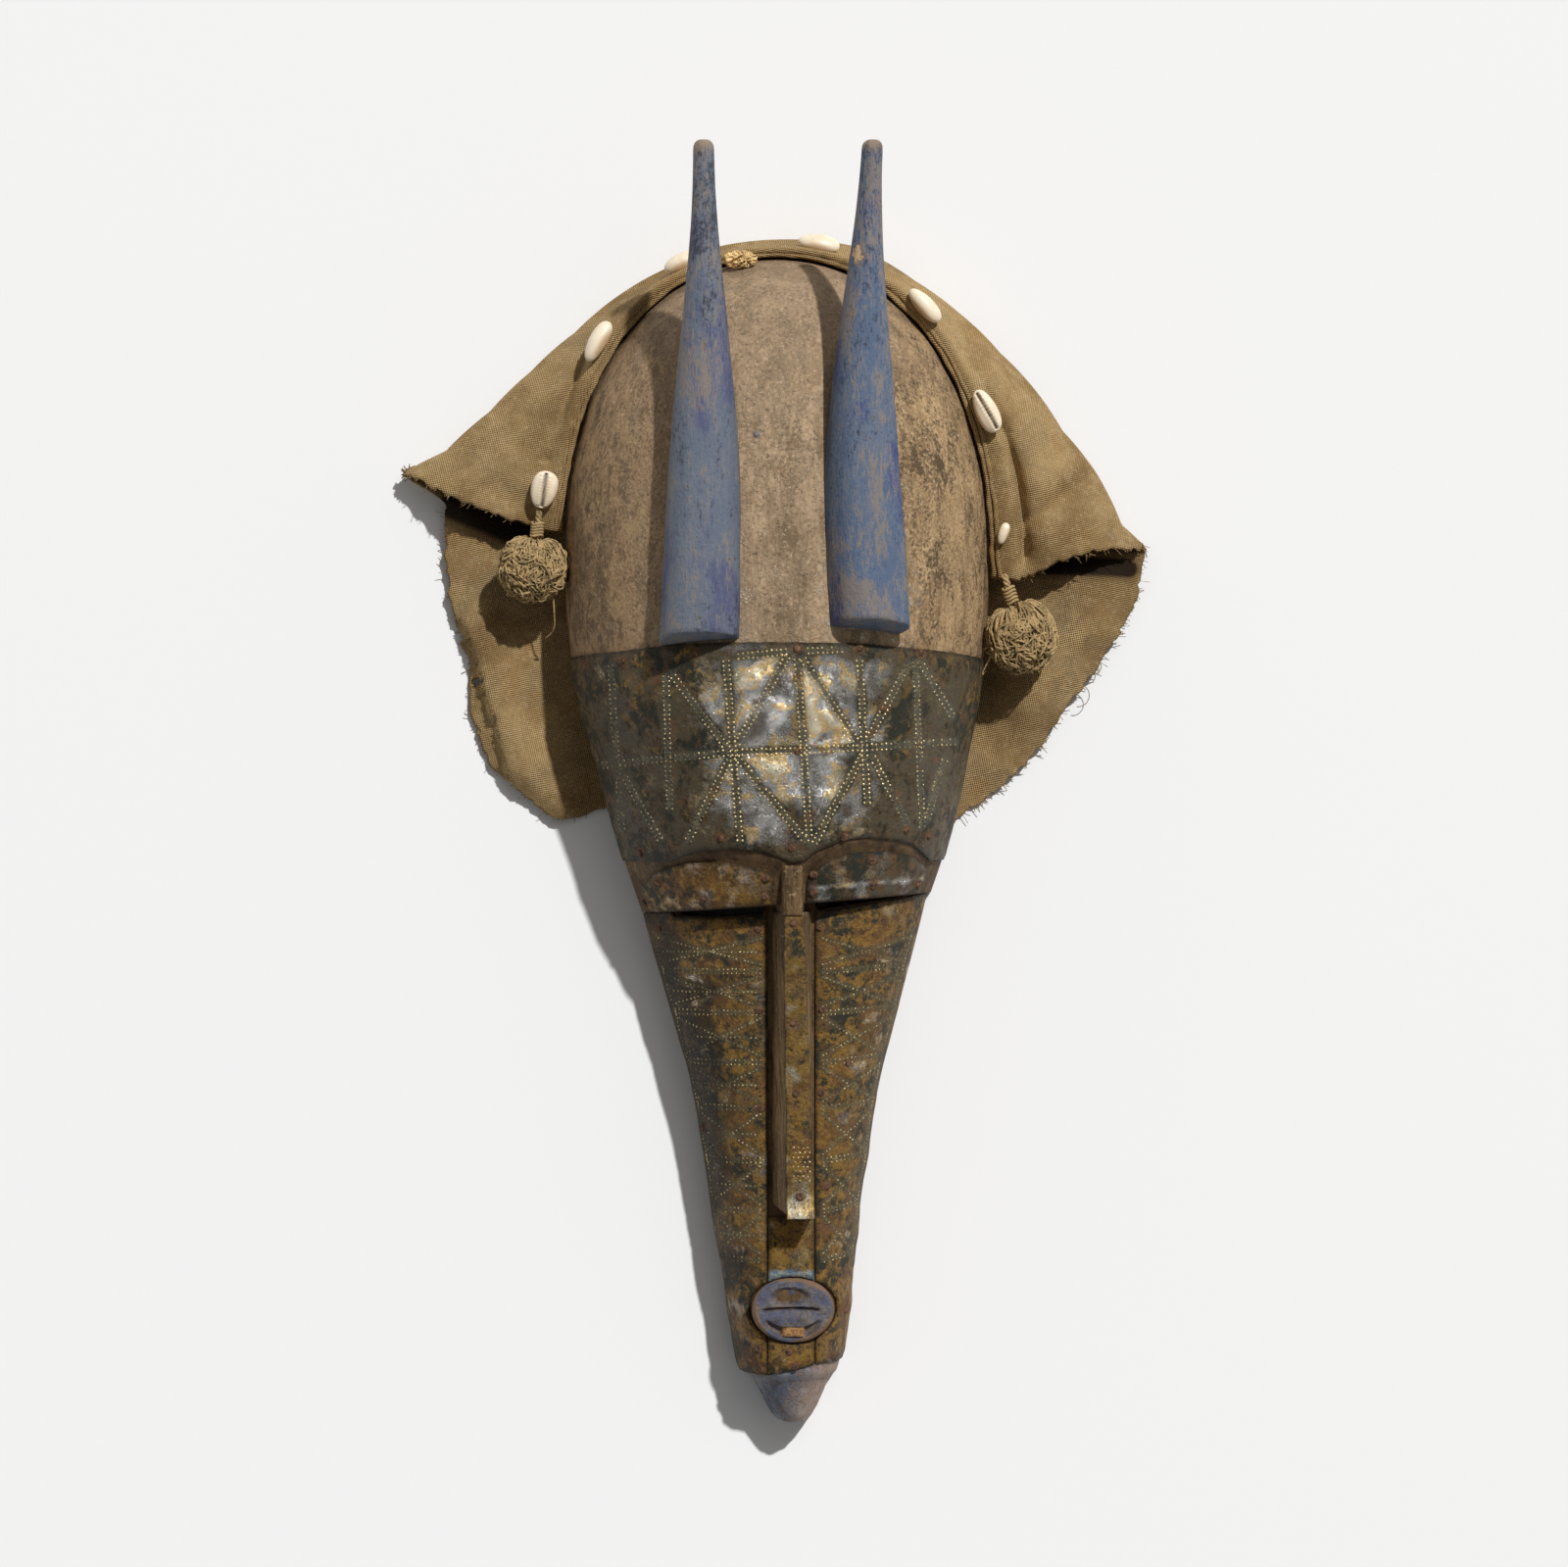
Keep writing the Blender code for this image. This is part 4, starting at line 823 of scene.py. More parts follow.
def head_point(turn, y, out=0.0):
    half, crown, middle = head_size(y)
    back = head_back(y)
    x, z = arc_point(turn, half + out, crown - back + out, HEAD_SQUARENESS)
    x += middle
    return Vector((x, y, back + z - eye_recess(x, y) * min(z / 0.02, 1.0)))


def face_point(turn, y, out=0.0):
    half, crown, middle = face_size(y)
    x, z = arc_point(turn, half + out, crown + out, FACE_SQUARENESS)
    return Vector((x + middle, y, z))


def turn_at(x, y, size, squareness):
    half, _, middle = size(y)
    share = min(max((x - middle) / half, -0.9995), 0.9995)
    return math.acos(math.copysign(abs(share) ** (squareness / 2.0), share))


def skin(kind, x, y, lift=0.0):
    """A point at x and y over the head or the face, raised by lift, and the way out there."""
    point, size, squareness = {
        "head": (head_point, head_size, HEAD_SQUARENESS),
        "face": (face_point, face_size, FACE_SQUARENESS),
    }[kind]
    turn = turn_at(x, y, size, squareness)
    here = point(turn, y)
    along = point(turn, y + 0.0005) - point(turn, y - 0.0005)
    across = point(turn - 0.01, y) - point(turn + 0.01, y)
    out = across.cross(along).normalized()
    if out.z < 0.0:
        out = -out
    return here + out * lift, out


def grid_faces(rows, columns, start=0, closed=False):
    faces = []
    for row in range(rows - 1):
        for column in range(columns if closed else columns - 1):
            after = (column + 1) % columns
            low, high = start + row * columns, start + (row + 1) * columns
            faces.append((low + column, low + after, high + after, high + column))
    return faces


def add_piece(name, points, faces, material, slot, marks=None, replaces=()):
    """A piece of the object from points and faces, smooth, with its outward side out."""
    mesh = bpy.data.meshes.new(name)
    mesh.from_pydata([tuple(point) for point in points], [], faces)
    if marks:
        layer = mesh.color_attributes.new("marks", "FLOAT_COLOR", "POINT")
        layer.data.foreach_set("color", [value for mark in marks for value in (*mark, 1.0)[:4]])
    shape = bmesh.new()
    shape.from_mesh(mesh)
    bmesh.ops.recalc_face_normals(shape, faces=shape.faces)
    shape.to_mesh(mesh)
    shape.free()
    mesh.shade_smooth()
    mesh.materials.append(material)
    obj = bpy.data.objects.new(name, mesh)
    bpy.context.scene.collection.objects.link(obj)
    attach(obj, BODY)
    if replaces:
        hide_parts(*replaces)
    return obj


def shell_piece(name, outer, inner, material, slot, marks=None, replaces=()):
    """A closed wall between two grids of points of the same size."""
    rows, columns = len(outer), len(outer[0])
    count = rows * columns
    points = [point for row in outer for point in row] + [point for row in inner for point in row]
    faces = grid_faces(rows, columns)
    faces += [tuple(reversed(face)) for face in grid_faces(rows, columns, count)]
    edge = [column for column in range(columns)]
    edge += [row * columns + columns - 1 for row in range(1, rows)]
    edge += [count - 1 - column for column in range(1, columns)]
    edge += [row * columns for row in range(rows - 2, 0, -1)]
    for one, two in zip(edge, edge[1:] + edge[:1]):
        faces.append((two, one, one + count, two + count))
    if marks:
        flat = [mark for row in marks for mark in row]
        marks = flat + flat
    return add_piece(name, points, faces, material, slot, marks, replaces)


def tube(points, radius, sides, start=0):
    """Points and faces of a round strand along a line of points. radius may change along it."""
    found, faces = [], []
    side = None
    for place, point in enumerate(points):
        ahead = points[min(place + 1, len(points) - 1)] - points[max(place - 1, 0)]
        ahead = ahead.normalized() if ahead.length > 1e-9 else Vector((0.0, 0.0, 1.0))
        if side is None:
            side = ahead.orthogonal().normalized()
        side = (side - ahead * side.dot(ahead)).normalized()
        other = ahead.cross(side)
        size = radius(place / (len(points) - 1)) if callable(radius) else radius
        for step in range(sides):
            angle = 2.0 * math.pi * step / sides
            found.append(point + (side * math.cos(angle) + other * math.sin(angle)) * size)
    faces += grid_faces(len(points), sides, start, True)
    faces.append(tuple(start + step for step in range(sides)))
    faces.append(tuple(start + len(found) - sides + step for step in reversed(range(sides))))
    return found, faces


def gather(name, strands, material, slot, replaces=()):
    """One piece of many strands, each (points, radius, sides)."""
    points, faces = [], []
    for line, radius, sides in strands:
        more, sheets = tube(line, radius, sides, len(points))
        points += more
        faces += sheets
    return add_piece(name, points, faces, material, slot, None, replaces)


def carve_out(point, amount):
    return amount * (0.7 * rough(point, 60.0) + 0.5 * rough(point, 150.0, 3.0) + 1.1 * rough(point, 22.0, 9.0))


def head_wall():
    """The outer and inner grids of the dome, forehead and brow."""
    settings = bpy.context.scene.mask_wood
    outer, inner = [], []
    turns = [math.pi * step / 150 for step in range(151)]
    levels = [(math.sin(math.pi / 2 * (1.0 - step / 70)), None) for step in range(70)]
    levels += [(None, between(DOME_WIDEST, LEAN_START, step / 80)) for step in range(81)]
    levels += [(None, between(LEAN_START, LEDGE, step / 44)) for step in range(1, 45)]
    for share, y in levels:
        line, under = [], []
        if y is None:
            y = between(DOME_WIDEST, DOME_TOP, share)
            inner_y = between(DOME_WIDEST, DOME_TOP - DOME_WALL, share)
            inner_half = (HEAD[0][1] - DOME_WALL) * power_arc(share, PLAN_POWER)
            top = DOME_TOP - DOME_WALL
            rise = power_arc(max(inner_y - DOME_CREST, 0.0) / (top - DOME_CREST), PROFILE_POWER)
            inner_crown = between(DOME_BACK, HEAD[0][2] - DOME_WALL, rise)
        else:
            half, crown, _ = head_size(y)
            wall = between(DOME_WALL, LEDGE_WALL, ease((0.0 - y) / 0.040))
            inner_y, inner_half, inner_crown = y, half - DOME_WALL, crown - wall
        lean = LEDGE_TILT * ease((LEAN_START - y) / (LEAN_START - LEDGE))
        middle = head_size(y)[2]
        back = head_back(y)
        for turn in turns:
            shift = lean * (head_point(turn, y).x - LEDGE_MIDDLE)
            point = head_point(turn, y + shift)
            point = head_point(turn, y + shift, carve_out(point, settings.carve) * min(point.z / 0.02, 1.0))
            line.append(point)
            x, z = arc_point(turn, inner_half, max(inner_crown - back, 0.0), HEAD_SQUARENESS)
            wave = 0.0012 * rough((x, inner_y, z), 45.0, 5.0) if 0.0 < turn < math.pi else 0.0
            under.append(Vector((x + middle, inner_y + shift, back + max(z + wave * min(z / 0.02, 1.0), 0.0))))
        outer.append(line)
        inner.append(under)
    return outer, inner


def slit_drop(x):
    """How far the face's top edge lies below the ledge at x."""
    drop = -0.0040
    for (left, right), end in ((LEFT_SLIT, 0.85), (RIGHT_SLIT, 0.10)):
        if left - 0.001 < x < right + 0.001:
            share = (x - left) / (right - left)
            height = between(1.0, end, share) if end < 0.5 else between(0.55, 1.0, ease(share * 2.2))
            edge = ease((x - left + 0.001) / 0.0022) * ease((right + 0.001 - x) / 0.0022)
            drop = between(drop, SLIT_HEIGHT * max(height, 0.12), edge)
    return drop


def face_wall():
    settings = bpy.context.scene.mask_wood
    outer, inner = [], []
    turns = [math.pi * step / 170 for step in range(171)]
    shares = [step / 30 * 0.08 for step in range(30)]
    shares += [between(0.08, 0.93, step / 110) for step in range(110)]
    shares += [between(0.93, 1.0, step / 26) for step in range(27)]
    end = FACE[-1][0]
    for share in shares:
        line, under = [], []
        level = between(LEDGE, end, share)
        fade = max(1.0 - share / 0.10, 0.0)
        for turn in turns:
            x = face_point(turn, level).x
            y = level + (ledge_line(x) - slit_drop(x) - LEDGE) * fade
            point = face_point(turn, y)
            point = face_point(turn, y, carve_out(point, settings.carve) * min(point.z / 0.02, 1.0))
            if share > 0.97:
                point.y += 0.0008 * rough(point, 240.0, 2.0)
            line.append(point)
            inner_y = between(y, FACE_HOLLOW_END, share) if share < 1.0 else FACE_HOLLOW_END
            under.append(face_point(turn, max(inner_y, FACE_HOLLOW_END), -FACE_WALL))
        outer.append(line)
        inner.append(under)
    middle = face_size(end)[2]
    base = Vector((middle, end, 0.0))
    hollow = Vector((face_size(FACE_HOLLOW_END)[2], FACE_HOLLOW_END, 0.0))
    for part in (0.96, 0.6, 0.0):
        outer.append([
            base.lerp(point, part) + Vector((0.0, -0.0003 * (part < 0.9), 0.0)) for point in outer[len(shares) - 1]
        ])
        inner.append([hollow.lerp(point, part) for point in inner[len(shares) - 1]])
    return outer, inner


class MASK_OT_carve_head(bpy.types.Operator):
    """Carve the dome, the brow and the face"""

    bl_idname = "mask.carve_head"
    bl_label = "Carve the head and face"

    def execute(self, context):
        wood = context.scene.mask_wood
        shell_piece("carved_head", *head_wall(), bare_wood("dry_wood", wood), "wood", None, ["wooden_mask"])
        chin_wood = bare_wood("face_wood", wood, True)
        shell_piece("carved_face", *face_wall(), chin_wood, "wood", None, ["wooden_mask"])
        return {"FINISHED"}


def horn_grid(horn, seed):
    foot_x, foot_y, tip_x, tip_y, bow = horn
    points = []
    rings, sides = 90, 44
    shares = [-0.0005, 0.0, 0.004] + [0.004 + 0.976 * step / rings for step in range(1, rings + 1)]
    shares += [0.988, 0.994, 0.998, 1.0]
    for place, share in enumerate(shares):
        part = min(max(share, 0.0), 1.0)
        radius = between(HORN_RADII[1], HORN_RADII[0], (1.0 + math.cos(math.pi * part**HORN_TAPER)) / 2.0)
        if place == 0:
            radius *= 0.90
        elif place == 1:
            radius *= 0.965
        if share > 0.98:
            radius *= power_arc((share - 0.98) / 0.021, 2.6)
        x = between(foot_x, tip_x, part) + bow * math.sin(math.pi * part**0.8)
        y = between(foot_y, tip_y, part)
        z = between(*HORN_HEIGHTS, part)
        for side in range(sides):
            angle = 2.0 * math.pi * side / sides
            across, up = math.cos(angle), math.sin(angle)
            flat = 1.0 - 0.045 * math.cos(4.0 * angle + 0.4 * seed) * (1.0 - part)
            spot = (across * 0.9 + seed, y * 14.0, up * 0.9)
            uneven = 1.0 + 0.035 * rough(spot, 1.3) + 0.022 * rough(spot, 3.6, 4.0)
            slant = HORN_FOOT_SLANT * radius * up * max(0.0, 1.0 - part * 12.0)
            size = radius * flat * uneven
            points.append(Vector((x + size * across, y + slant, z + size * up)))
    faces = grid_faces(len(shares), sides, 0, True)
    faces.append(tuple(range(sides)))
    faces.append(tuple(len(points) - sides + step for step in range(sides)))
    return points, faces


class MASK_OT_carve_horns(bpy.types.Operator):
    """Carve the horns and paint them"""

    bl_idname = "mask.carve_horns"
    bl_label = "Carve the horns"

    def execute(self, context):
        paint = worn_paint("worn_blue_paint", context.scene.mask_wood)
        for name, horn, seed in (("left_horn", LEFT_HORN, 1.0), ("right_horn", RIGHT_HORN, 5.0)):
            add_piece(name, *horn_grid(horn, seed), paint, "wood", None, ["wooden_mask"])
        return {"FINISHED"}


def nose_front(y):
    return between(*NOSE_FRONT, (NOSE_TOP - y) / (NOSE_TOP - NOSE_END))


def nose_face(y):
    share = (NOSE_TOP - y) / (NOSE_TOP - NOSE_END)
    return [between(NOSE_FACE_TOP[side], NOSE_FACE_END[side], share) for side in (0, 1)]


def bar_ring(y, sides, face, root, front, left_y=None):
    """A ring across the nose with worn edges on its front."""
    left_y = y if left_y is None else left_y
    left_mid = between(left_y, y, 0.7)
    corners = []
    steps = 10
    for step in range(steps):
        share = step / steps
        x, z = between(sides[0], face[0], share), between(root, front, share)
        corners.append(Vector((x, between(left_y, left_mid, share), z)))
    for step in range(6):
        share = step / 6
        corners.append(Vector((between(face[0], face[1], share), between(left_mid, y, share), front)))
    for step in range(steps):
        share = step / steps
        corners.append(Vector((between(face[1], sides[1], share), y, between(front, root, share))))
    corners.append(Vector((sides[1], y, root)))
    count = len(corners)
    worn = []
    for place, point in enumerate(corners):
        near = (corners[(place - 1) % count] + corners[(place + 1) % count]) / 2.0
        soft = 0.6 if place in (steps, steps + 6) else 0.25
        point = point.lerp(near, soft) if 0 < place < count - 1 else point
        worn.append(point + Vector((1.0, 0.0, 1.0)) * 0.0004 * rough(point, 130.0, 7.0))
    return worn


def loft_piece(name, rings, material, slot, replaces=(), marks=None):
    sides = len(rings[0])
    points = [point for ring in rings for point in ring]
    faces = grid_faces(len(rings), sides, 0, True)
    faces.append(tuple(range(sides)))
    faces.append(tuple(len(points) - sides + step for step in range(sides)))
    return add_piece(name, points, faces, material, slot, marks, replaces)


class MASK_OT_carve_nose(bpy.types.Operator):
    """Carve the nose, its root between the eyelids and the mouth"""

    bl_idname = "mask.carve_nose_mouth"
    bl_label = "Carve the nose and mouth"

    def execute(self, context):
        oiled = nose_wood("nose_wood")
        seat = GAP + SHEET
        rings = []
        for step in range(24):
            share = step / 23
            y = between(STUB_TOP, NOSE_TOP - 0.001, share)
            front = between(STUB_FRONT, nose_front(NOSE_TOP) + 0.0002, share) - 0.0012 * (step == 0)
            rings.append(bar_ring(y, STUB_SIDES, STUB_FACE, front - 0.022, front))
        loft_piece("nose_root", rings, oiled, "wood", ["wooden_mask"])
        rings = []
        for step in range(80):
            share = step / 79
            y = between(NOSE_TOP + 0.0004, NOSE_END, share)
            root = face_size(y)[1] - 0.006
            bevel = NOSE_END_BEVEL * ease((share - 0.95) / 0.05)
            rings.append(bar_ring(y, NOSE_SIDES, nose_face(y), root, nose_front(y) - seat, y + bevel))
        loft_piece("nose_bar", rings, oiled, "wood", ["wooden_mask"])
        build_mouth()
        return {"FINISHED"}


def nose_wood(name):
    """Dark oiled wood with grain along the nose."""
    mix = Recipe(name)
    along = (1.0, 0.12, 1.0)
    grain = mix.cloud(520.0, 4.0, 0.65, stretch=along)
    streak = mix.cloud(110.0, 5.0, 0.6, stretch=along)
    speck = mix.cloud(480.0, 4.0, 0.7)
    face = mix.coat((0.095, 0.060, 0.028), streak, 0.36, 0.60, (0.270, 0.165, 0.072))
    face = mix.coat(face, grain, 0.52, 0.38, (0.040, 0.025, 0.012), 0.7)
    face = mix.coat(face, speck, 0.54, 0.68, (0.42, 0.31, 0.17), 0.6)
    return mix.finish(face, 0.56 + speck * 0.25, 0.0, grain * 0.6 + speck * 0.4, 0.0006, Specular_IOR_Level=0.2)


def mouth_height(x, y):
    """Height of the mouth's carving over the boss's face and its three marks: rim, painted shade and block."""
    share = math.hypot(x / MOUTH_RADII[0], y / MOUTH_RADII[1])
    height = 0.0005 * rough((x, y, 0.0), 240.0, 3.0)
    height -= 0.0014 * ease((share - 0.90) / 0.10)
    upper = 1.0 - ((x + 0.0012) / 0.0098) ** 2 - ((y - 0.0058) / 0.0046) ** 2
    top_hollow = ease(upper * 1.2)
    height -= 0.0024 * top_hollow
    knob = math.exp(-(((x + 0.0002) / 0.0016) ** 2) - ((y - 0.0078) / 0.0013) ** 2)
    height += 0.0010 * knob
    slit_y = y - 0.0008 + 0.00022 * (x / 0.006) ** 2
    reach = ease((0.0137 - abs(x + 0.0008)) / 0.0025)
    slit = math.exp(-((slit_y / 0.00055) ** 2)) * reach
    height -= 0.0022 * slit
    lower = math.exp(-(((y + 0.0034) / 0.0030) ** 2) - (x / 0.0115) ** 4)
    height += 0.0010 * lower * (1.0 - slit)
    bow = y + 0.0078 - 0.0045 * (x / 0.0125) ** 2
    rim_low = 1.0 - (x / 0.0130) ** 2 - ((y + 0.0052) / 0.0088) ** 2
    under = ease(-bow / 0.0016) * ease(rim_low * 2.2)
    height -= 0.0026 * under
    block = ease((0.0054 - abs(x - 0.0002)) / 0.0008) * ease((0.0026 - abs(y + 0.0098)) / 0.0007)
    height = between(height, -0.0006 + 0.0003 * rough((x, y, 1.0), 400.0, 3.0), block)
    angle = math.atan2(y / MOUTH_RADII[1], x / MOUTH_RADII[0])
    rim = ease((share - 0.84 - 0.07 * math.sin(angle * 3.0 + 1.0)) / 0.13)
    edge = math.exp(-(((slit_y - 0.0011) / 0.0006) ** 2)) * reach * 0.6 * (x < 0.004)
    shaded_groove = max(top_hollow * 0.75 * (1.0 - knob), slit, under * (1.0 - block) * 0.55)
    return height, (max(rim, edge), shaded_groove, block)


def build_mouth():
    points, faces, marks = [], [], []
    rings, sides = 46, 120
    x, y = MOUTH
    for ring in range(1, rings + 1):
        share = ring / rings
        for side in range(sides):
            angle = 2.0 * math.pi * side / sides
            uneven = 1.0 + 0.018 * rough((math.cos(angle), math.sin(angle), 0.0), 1.6, 2.0)
            dx = MOUTH_RADII[0] * share * math.cos(angle) * uneven
            dy = MOUTH_RADII[1] * share * math.sin(angle) * uneven
            height, mark = mouth_height(dx, dy)
            points.append(Vector((x + dx, y + dy, MOUTH_FRONT + height)))
            marks.append(mark)
    for level in (MOUTH_FRONT - 0.004, MOUTH_ROOT):
        for side in range(sides):
            top = points[(rings - 1) * sides + side]
            points.append(Vector((top.x, top.y, level)))
            marks.append((1.0, 0.3, 0.0))
    faces = grid_faces(rings + 2, sides, 0, True)
    height, mark = mouth_height(0.0, 0.0)
    points.append(Vector((x, y, MOUTH_FRONT + height)))
    marks.append(mark)
    faces += [(len(points) - 1, (side + 1) % sides, side) for side in range(sides)]
    last = (rings + 1) * sides
    faces.append(tuple(last + side for side in range(sides)))
    add_piece("mouth_boss", points, faces, mouth_paint("mouth_paint"), "wood", marks, ["wooden_mask"])


def dent(x, y):
    """Hammered unevenness of the sheet, always outwards and deepest in the middle of the forehead."""
    spot = Vector((x, y, 0.0))
    value = 0.5 + 0.45 * noise.noise(spot * 58.0) + 0.22 * noise.noise(spot * 150.0 + Vector((3.0, 1.0, 0.0)))
    middle = math.exp(-(((x - 0.012) / 0.036) ** 2) - ((y - 0.016) / 0.046) ** 2)
    value += 0.62 * middle * noise.noise(spot * 118.0 + Vector((9.0, 4.0, 0.0)))
    return max(value, 0.0) * bpy.context.scene.mask_brass.dent


def nail_marks(x, y, nails, reach=0.0033):
    """Rust near the nails at x and y."""
    found = 0.0
    for nail_x, nail_y in nails:
        near = math.hypot(x - nail_x / 1000.0, y - nail_y / 1000.0)
        if near < reach * 2.2:
            found = max(found, math.exp(-((near / reach) ** 2)))
    return found


def edge_grime(row, rows, column, columns, reach):
    nearest = min(row, rows - row, column, columns - column)
    return ease(1.0 - nearest / reach) * 0.75


def outer_dark(x, y):
    """Dark patches that thicken towards the left side of the face."""
    half, _, middle = face_size(y)
    return 0.85 * ease(((middle - x) / half - 0.62 + 0.55 * rough((x, y, 0.0), 52.0, 4.0)) / 0.24)


def line_field(lines, reach):
    """A function that gives how near a place is to the punched lines, 1 on a line and 0 past reach."""
    pieces = []
    for line in lines:
        for one, two in zip(line, line[1:]):
            pieces.append((one[0] / 1000.0, one[1] / 1000.0, two[0] / 1000.0, two[1] / 1000.0))

    def near(x, y):
        best = reach
        for one_x, one_y, two_x, two_y in pieces:
            if min(one_x, two_x) - reach < x < max(one_x, two_x) + reach:
                if min(one_y, two_y) - reach < y < max(one_y, two_y) + reach:
                    way_x, way_y = two_x - one_x, two_y - one_y
                    share = ((x - one_x) * way_x + (y - one_y) * way_y) / (way_x**2 + way_y**2)
                    share = min(max(share, 0.0), 1.0)
                    best = min(best, math.hypot(x - one_x - way_x * share, y - one_y - way_y * share))
        return 1.0 - ease(best / reach)

    return near


def sheet_piece(name, kind, grid, material, nails, shine, replaces, band=lambda x, y: 0.0):
    """A dented sheet over a grid of (turn, y), with rust, shine, grime and line marks."""
    point = head_point if kind == "head" else face_point
    outer, inner, marks = [], [], []
    rows, columns = len(grid), len(grid[0])
    for row, line in enumerate(grid):
        top, under, mark = [], [], []
        for column, (turn, y) in enumerate(line):
            base = point(turn, y)
            edge = min(row, rows - 1 - row, column, columns - 1 - column)
            lift = dent(base.x, y) * ease(edge / 5.0)
            ragged = 0.00035 * rough(base, 260.0, 6.0) * ease(1.0 - edge / 2.0)
            top.append(point(turn, y + ragged, SHEET_GAP + SHEET + lift))
            under.append(point(turn, y + ragged, SHEET_GAP))
            grime = edge_grime(row, rows - 1, column, columns - 1, 3.0)
            if kind == "face":
                grime = max(grime, outer_dark(base.x, y))
            mark.append((nail_marks(base.x, y, nails), shine(base.x, y), grime, band(base.x, y)))
        outer.append(top)
        inner.append(under)
        marks.append(mark)
    return shell_piece(name, outer, inner, material, "sheet_brass", marks, replaces)


def forehead_shine(x, y):
    # The middle patch is rubbed metal made brighter as a painted highlight; the far edges get a painted sheen.
    middle = math.exp(-(((x - 0.008) / 0.041) ** 4) - ((y - 0.022) / 0.046) ** 4)
    edge = ease((abs(x - 0.0044) - 0.060) / 0.018) * 0.25
    return min(max(middle * 0.88 + edge + 0.45 * rough((x, y, 0.0), 75.0, 8.0) * (0.3 + middle), 0.0), 1.0)


def forehead_grid():
    rows, columns = 110, 230
    grid = []
    for row in range(rows + 1):
        line = []
        for column in range(columns + 1):
            turn = between(SHEET_WRAP, math.pi - SHEET_WRAP, column / columns)
            x = head_point(turn, 0.02).x
            half, _, middle = head_size(0.02)
            top = FOREHEAD_TOP - FOREHEAD_TOP_DROP * ((x - middle) / half) ** 2
            top += 0.0006 * rough((x, 0.0, 0.0), 40.0, 12.0)
            low = brow_line(x) + 0.0004 + 0.0005 * rough((x, 0.0, 0.0), 90.0, 14.0)
            line.append((turn, between(low, top, row / rows)))
        grid.append(line)
    return grid


def eyelid_grid(edges):
    left, right = edges
    rows, columns = 34, 70
    turns = [turn_at(x, LID_LEVEL, head_size, HEAD_SQUARENESS) for x in (left, right)]
    grid = []
    for row in range(rows + 1):
        line = []
        for column in range(columns + 1):
            turn = between(turns[0], turns[1], column / columns)
            x = head_point(turn, LID_LEVEL).x
            low = ledge_line(x) + 0.0003
            line.append((turn, between(low, max(lid_line(x), low + 0.002), row / rows)))
        grid.append(line)
    return grid


def seam_at(y, seam, side):
    along = (y - MOUTH[1]) / (MOUTH_RADII[1] + BOSS_GAP)
    if abs(along) >= 1.0:
        return seam
    bow = MOUTH[0] + side * (MOUTH_RADII[0] + BOSS_GAP) * math.sqrt(1.0 - along * along)
    return max(seam, bow) if side > 0 else min(seam, bow)


def cheek_grid(side, seam, end):
    top = LEDGE - SLIT_HEIGHT
    outer = math.pi - SHEET_WRAP if side < 0 else SHEET_WRAP
    rows, columns = 230, 74
    grid = []
    for row in range(rows + 1):
        level = between(top, end, row / rows)
        inner = turn_at(seam_at(level, seam, side), level, face_size, FACE_SQUARENESS)
        line = []
        for column in range(columns + 1):
            turn = between(outer, inner, (column / columns) ** 0.9)
            x = face_point(turn, level).x
            upper = ledge_line(x) - 0.0005 - max(slit_drop(x), 0.0)
            line.append((turn, level + (upper - top) * (1.0 - min(row / (rows * 0.10), 1.0))))
        grid.append(line)
    return grid


def strip_grid(left, right, top, bottom, rows, columns):
    grid = []
    for row in range(rows + 1):
        line = []
        for column in range(columns + 1):
            x = between(left, right, column / columns)
            y = between(bottom(x), top(x), row / rows)
            line.append((turn_at(x, y, face_size, FACE_SQUARENESS), y))
        grid.append(line)
    return grid


def mouth_edge(x, side):
    along = (x - MOUTH[0]) / (MOUTH_RADII[0] + BOSS_GAP)
    return MOUTH[1] + side * (MOUTH_RADII[1] + BOSS_GAP) * math.sqrt(max(0.0, 1.0 - along * along))


def cheek_shine(x, y):
    return min(max(0.12 + 0.55 * rough((x, y, 0.0), 85.0, 21.0), 0.0), 0.50)


def lid_shine(x, y):
    # Painted highlight: a thin bright streak along the right eyelid's lower edge.
    streak = math.exp(-(((y + 0.0405 - 0.07 * (x - 0.04)) / 0.0014) ** 2)) * (x > 0.01)
    return min(max(0.26 + 0.34 * rough((x, y, 0.0), 120.0, 5.0) + 0.30 * streak, 0.0), 1.0)


def nose_shine(x, y):
    return 0.40 + 0.45 * ease((-0.172 - y) / 0.012)


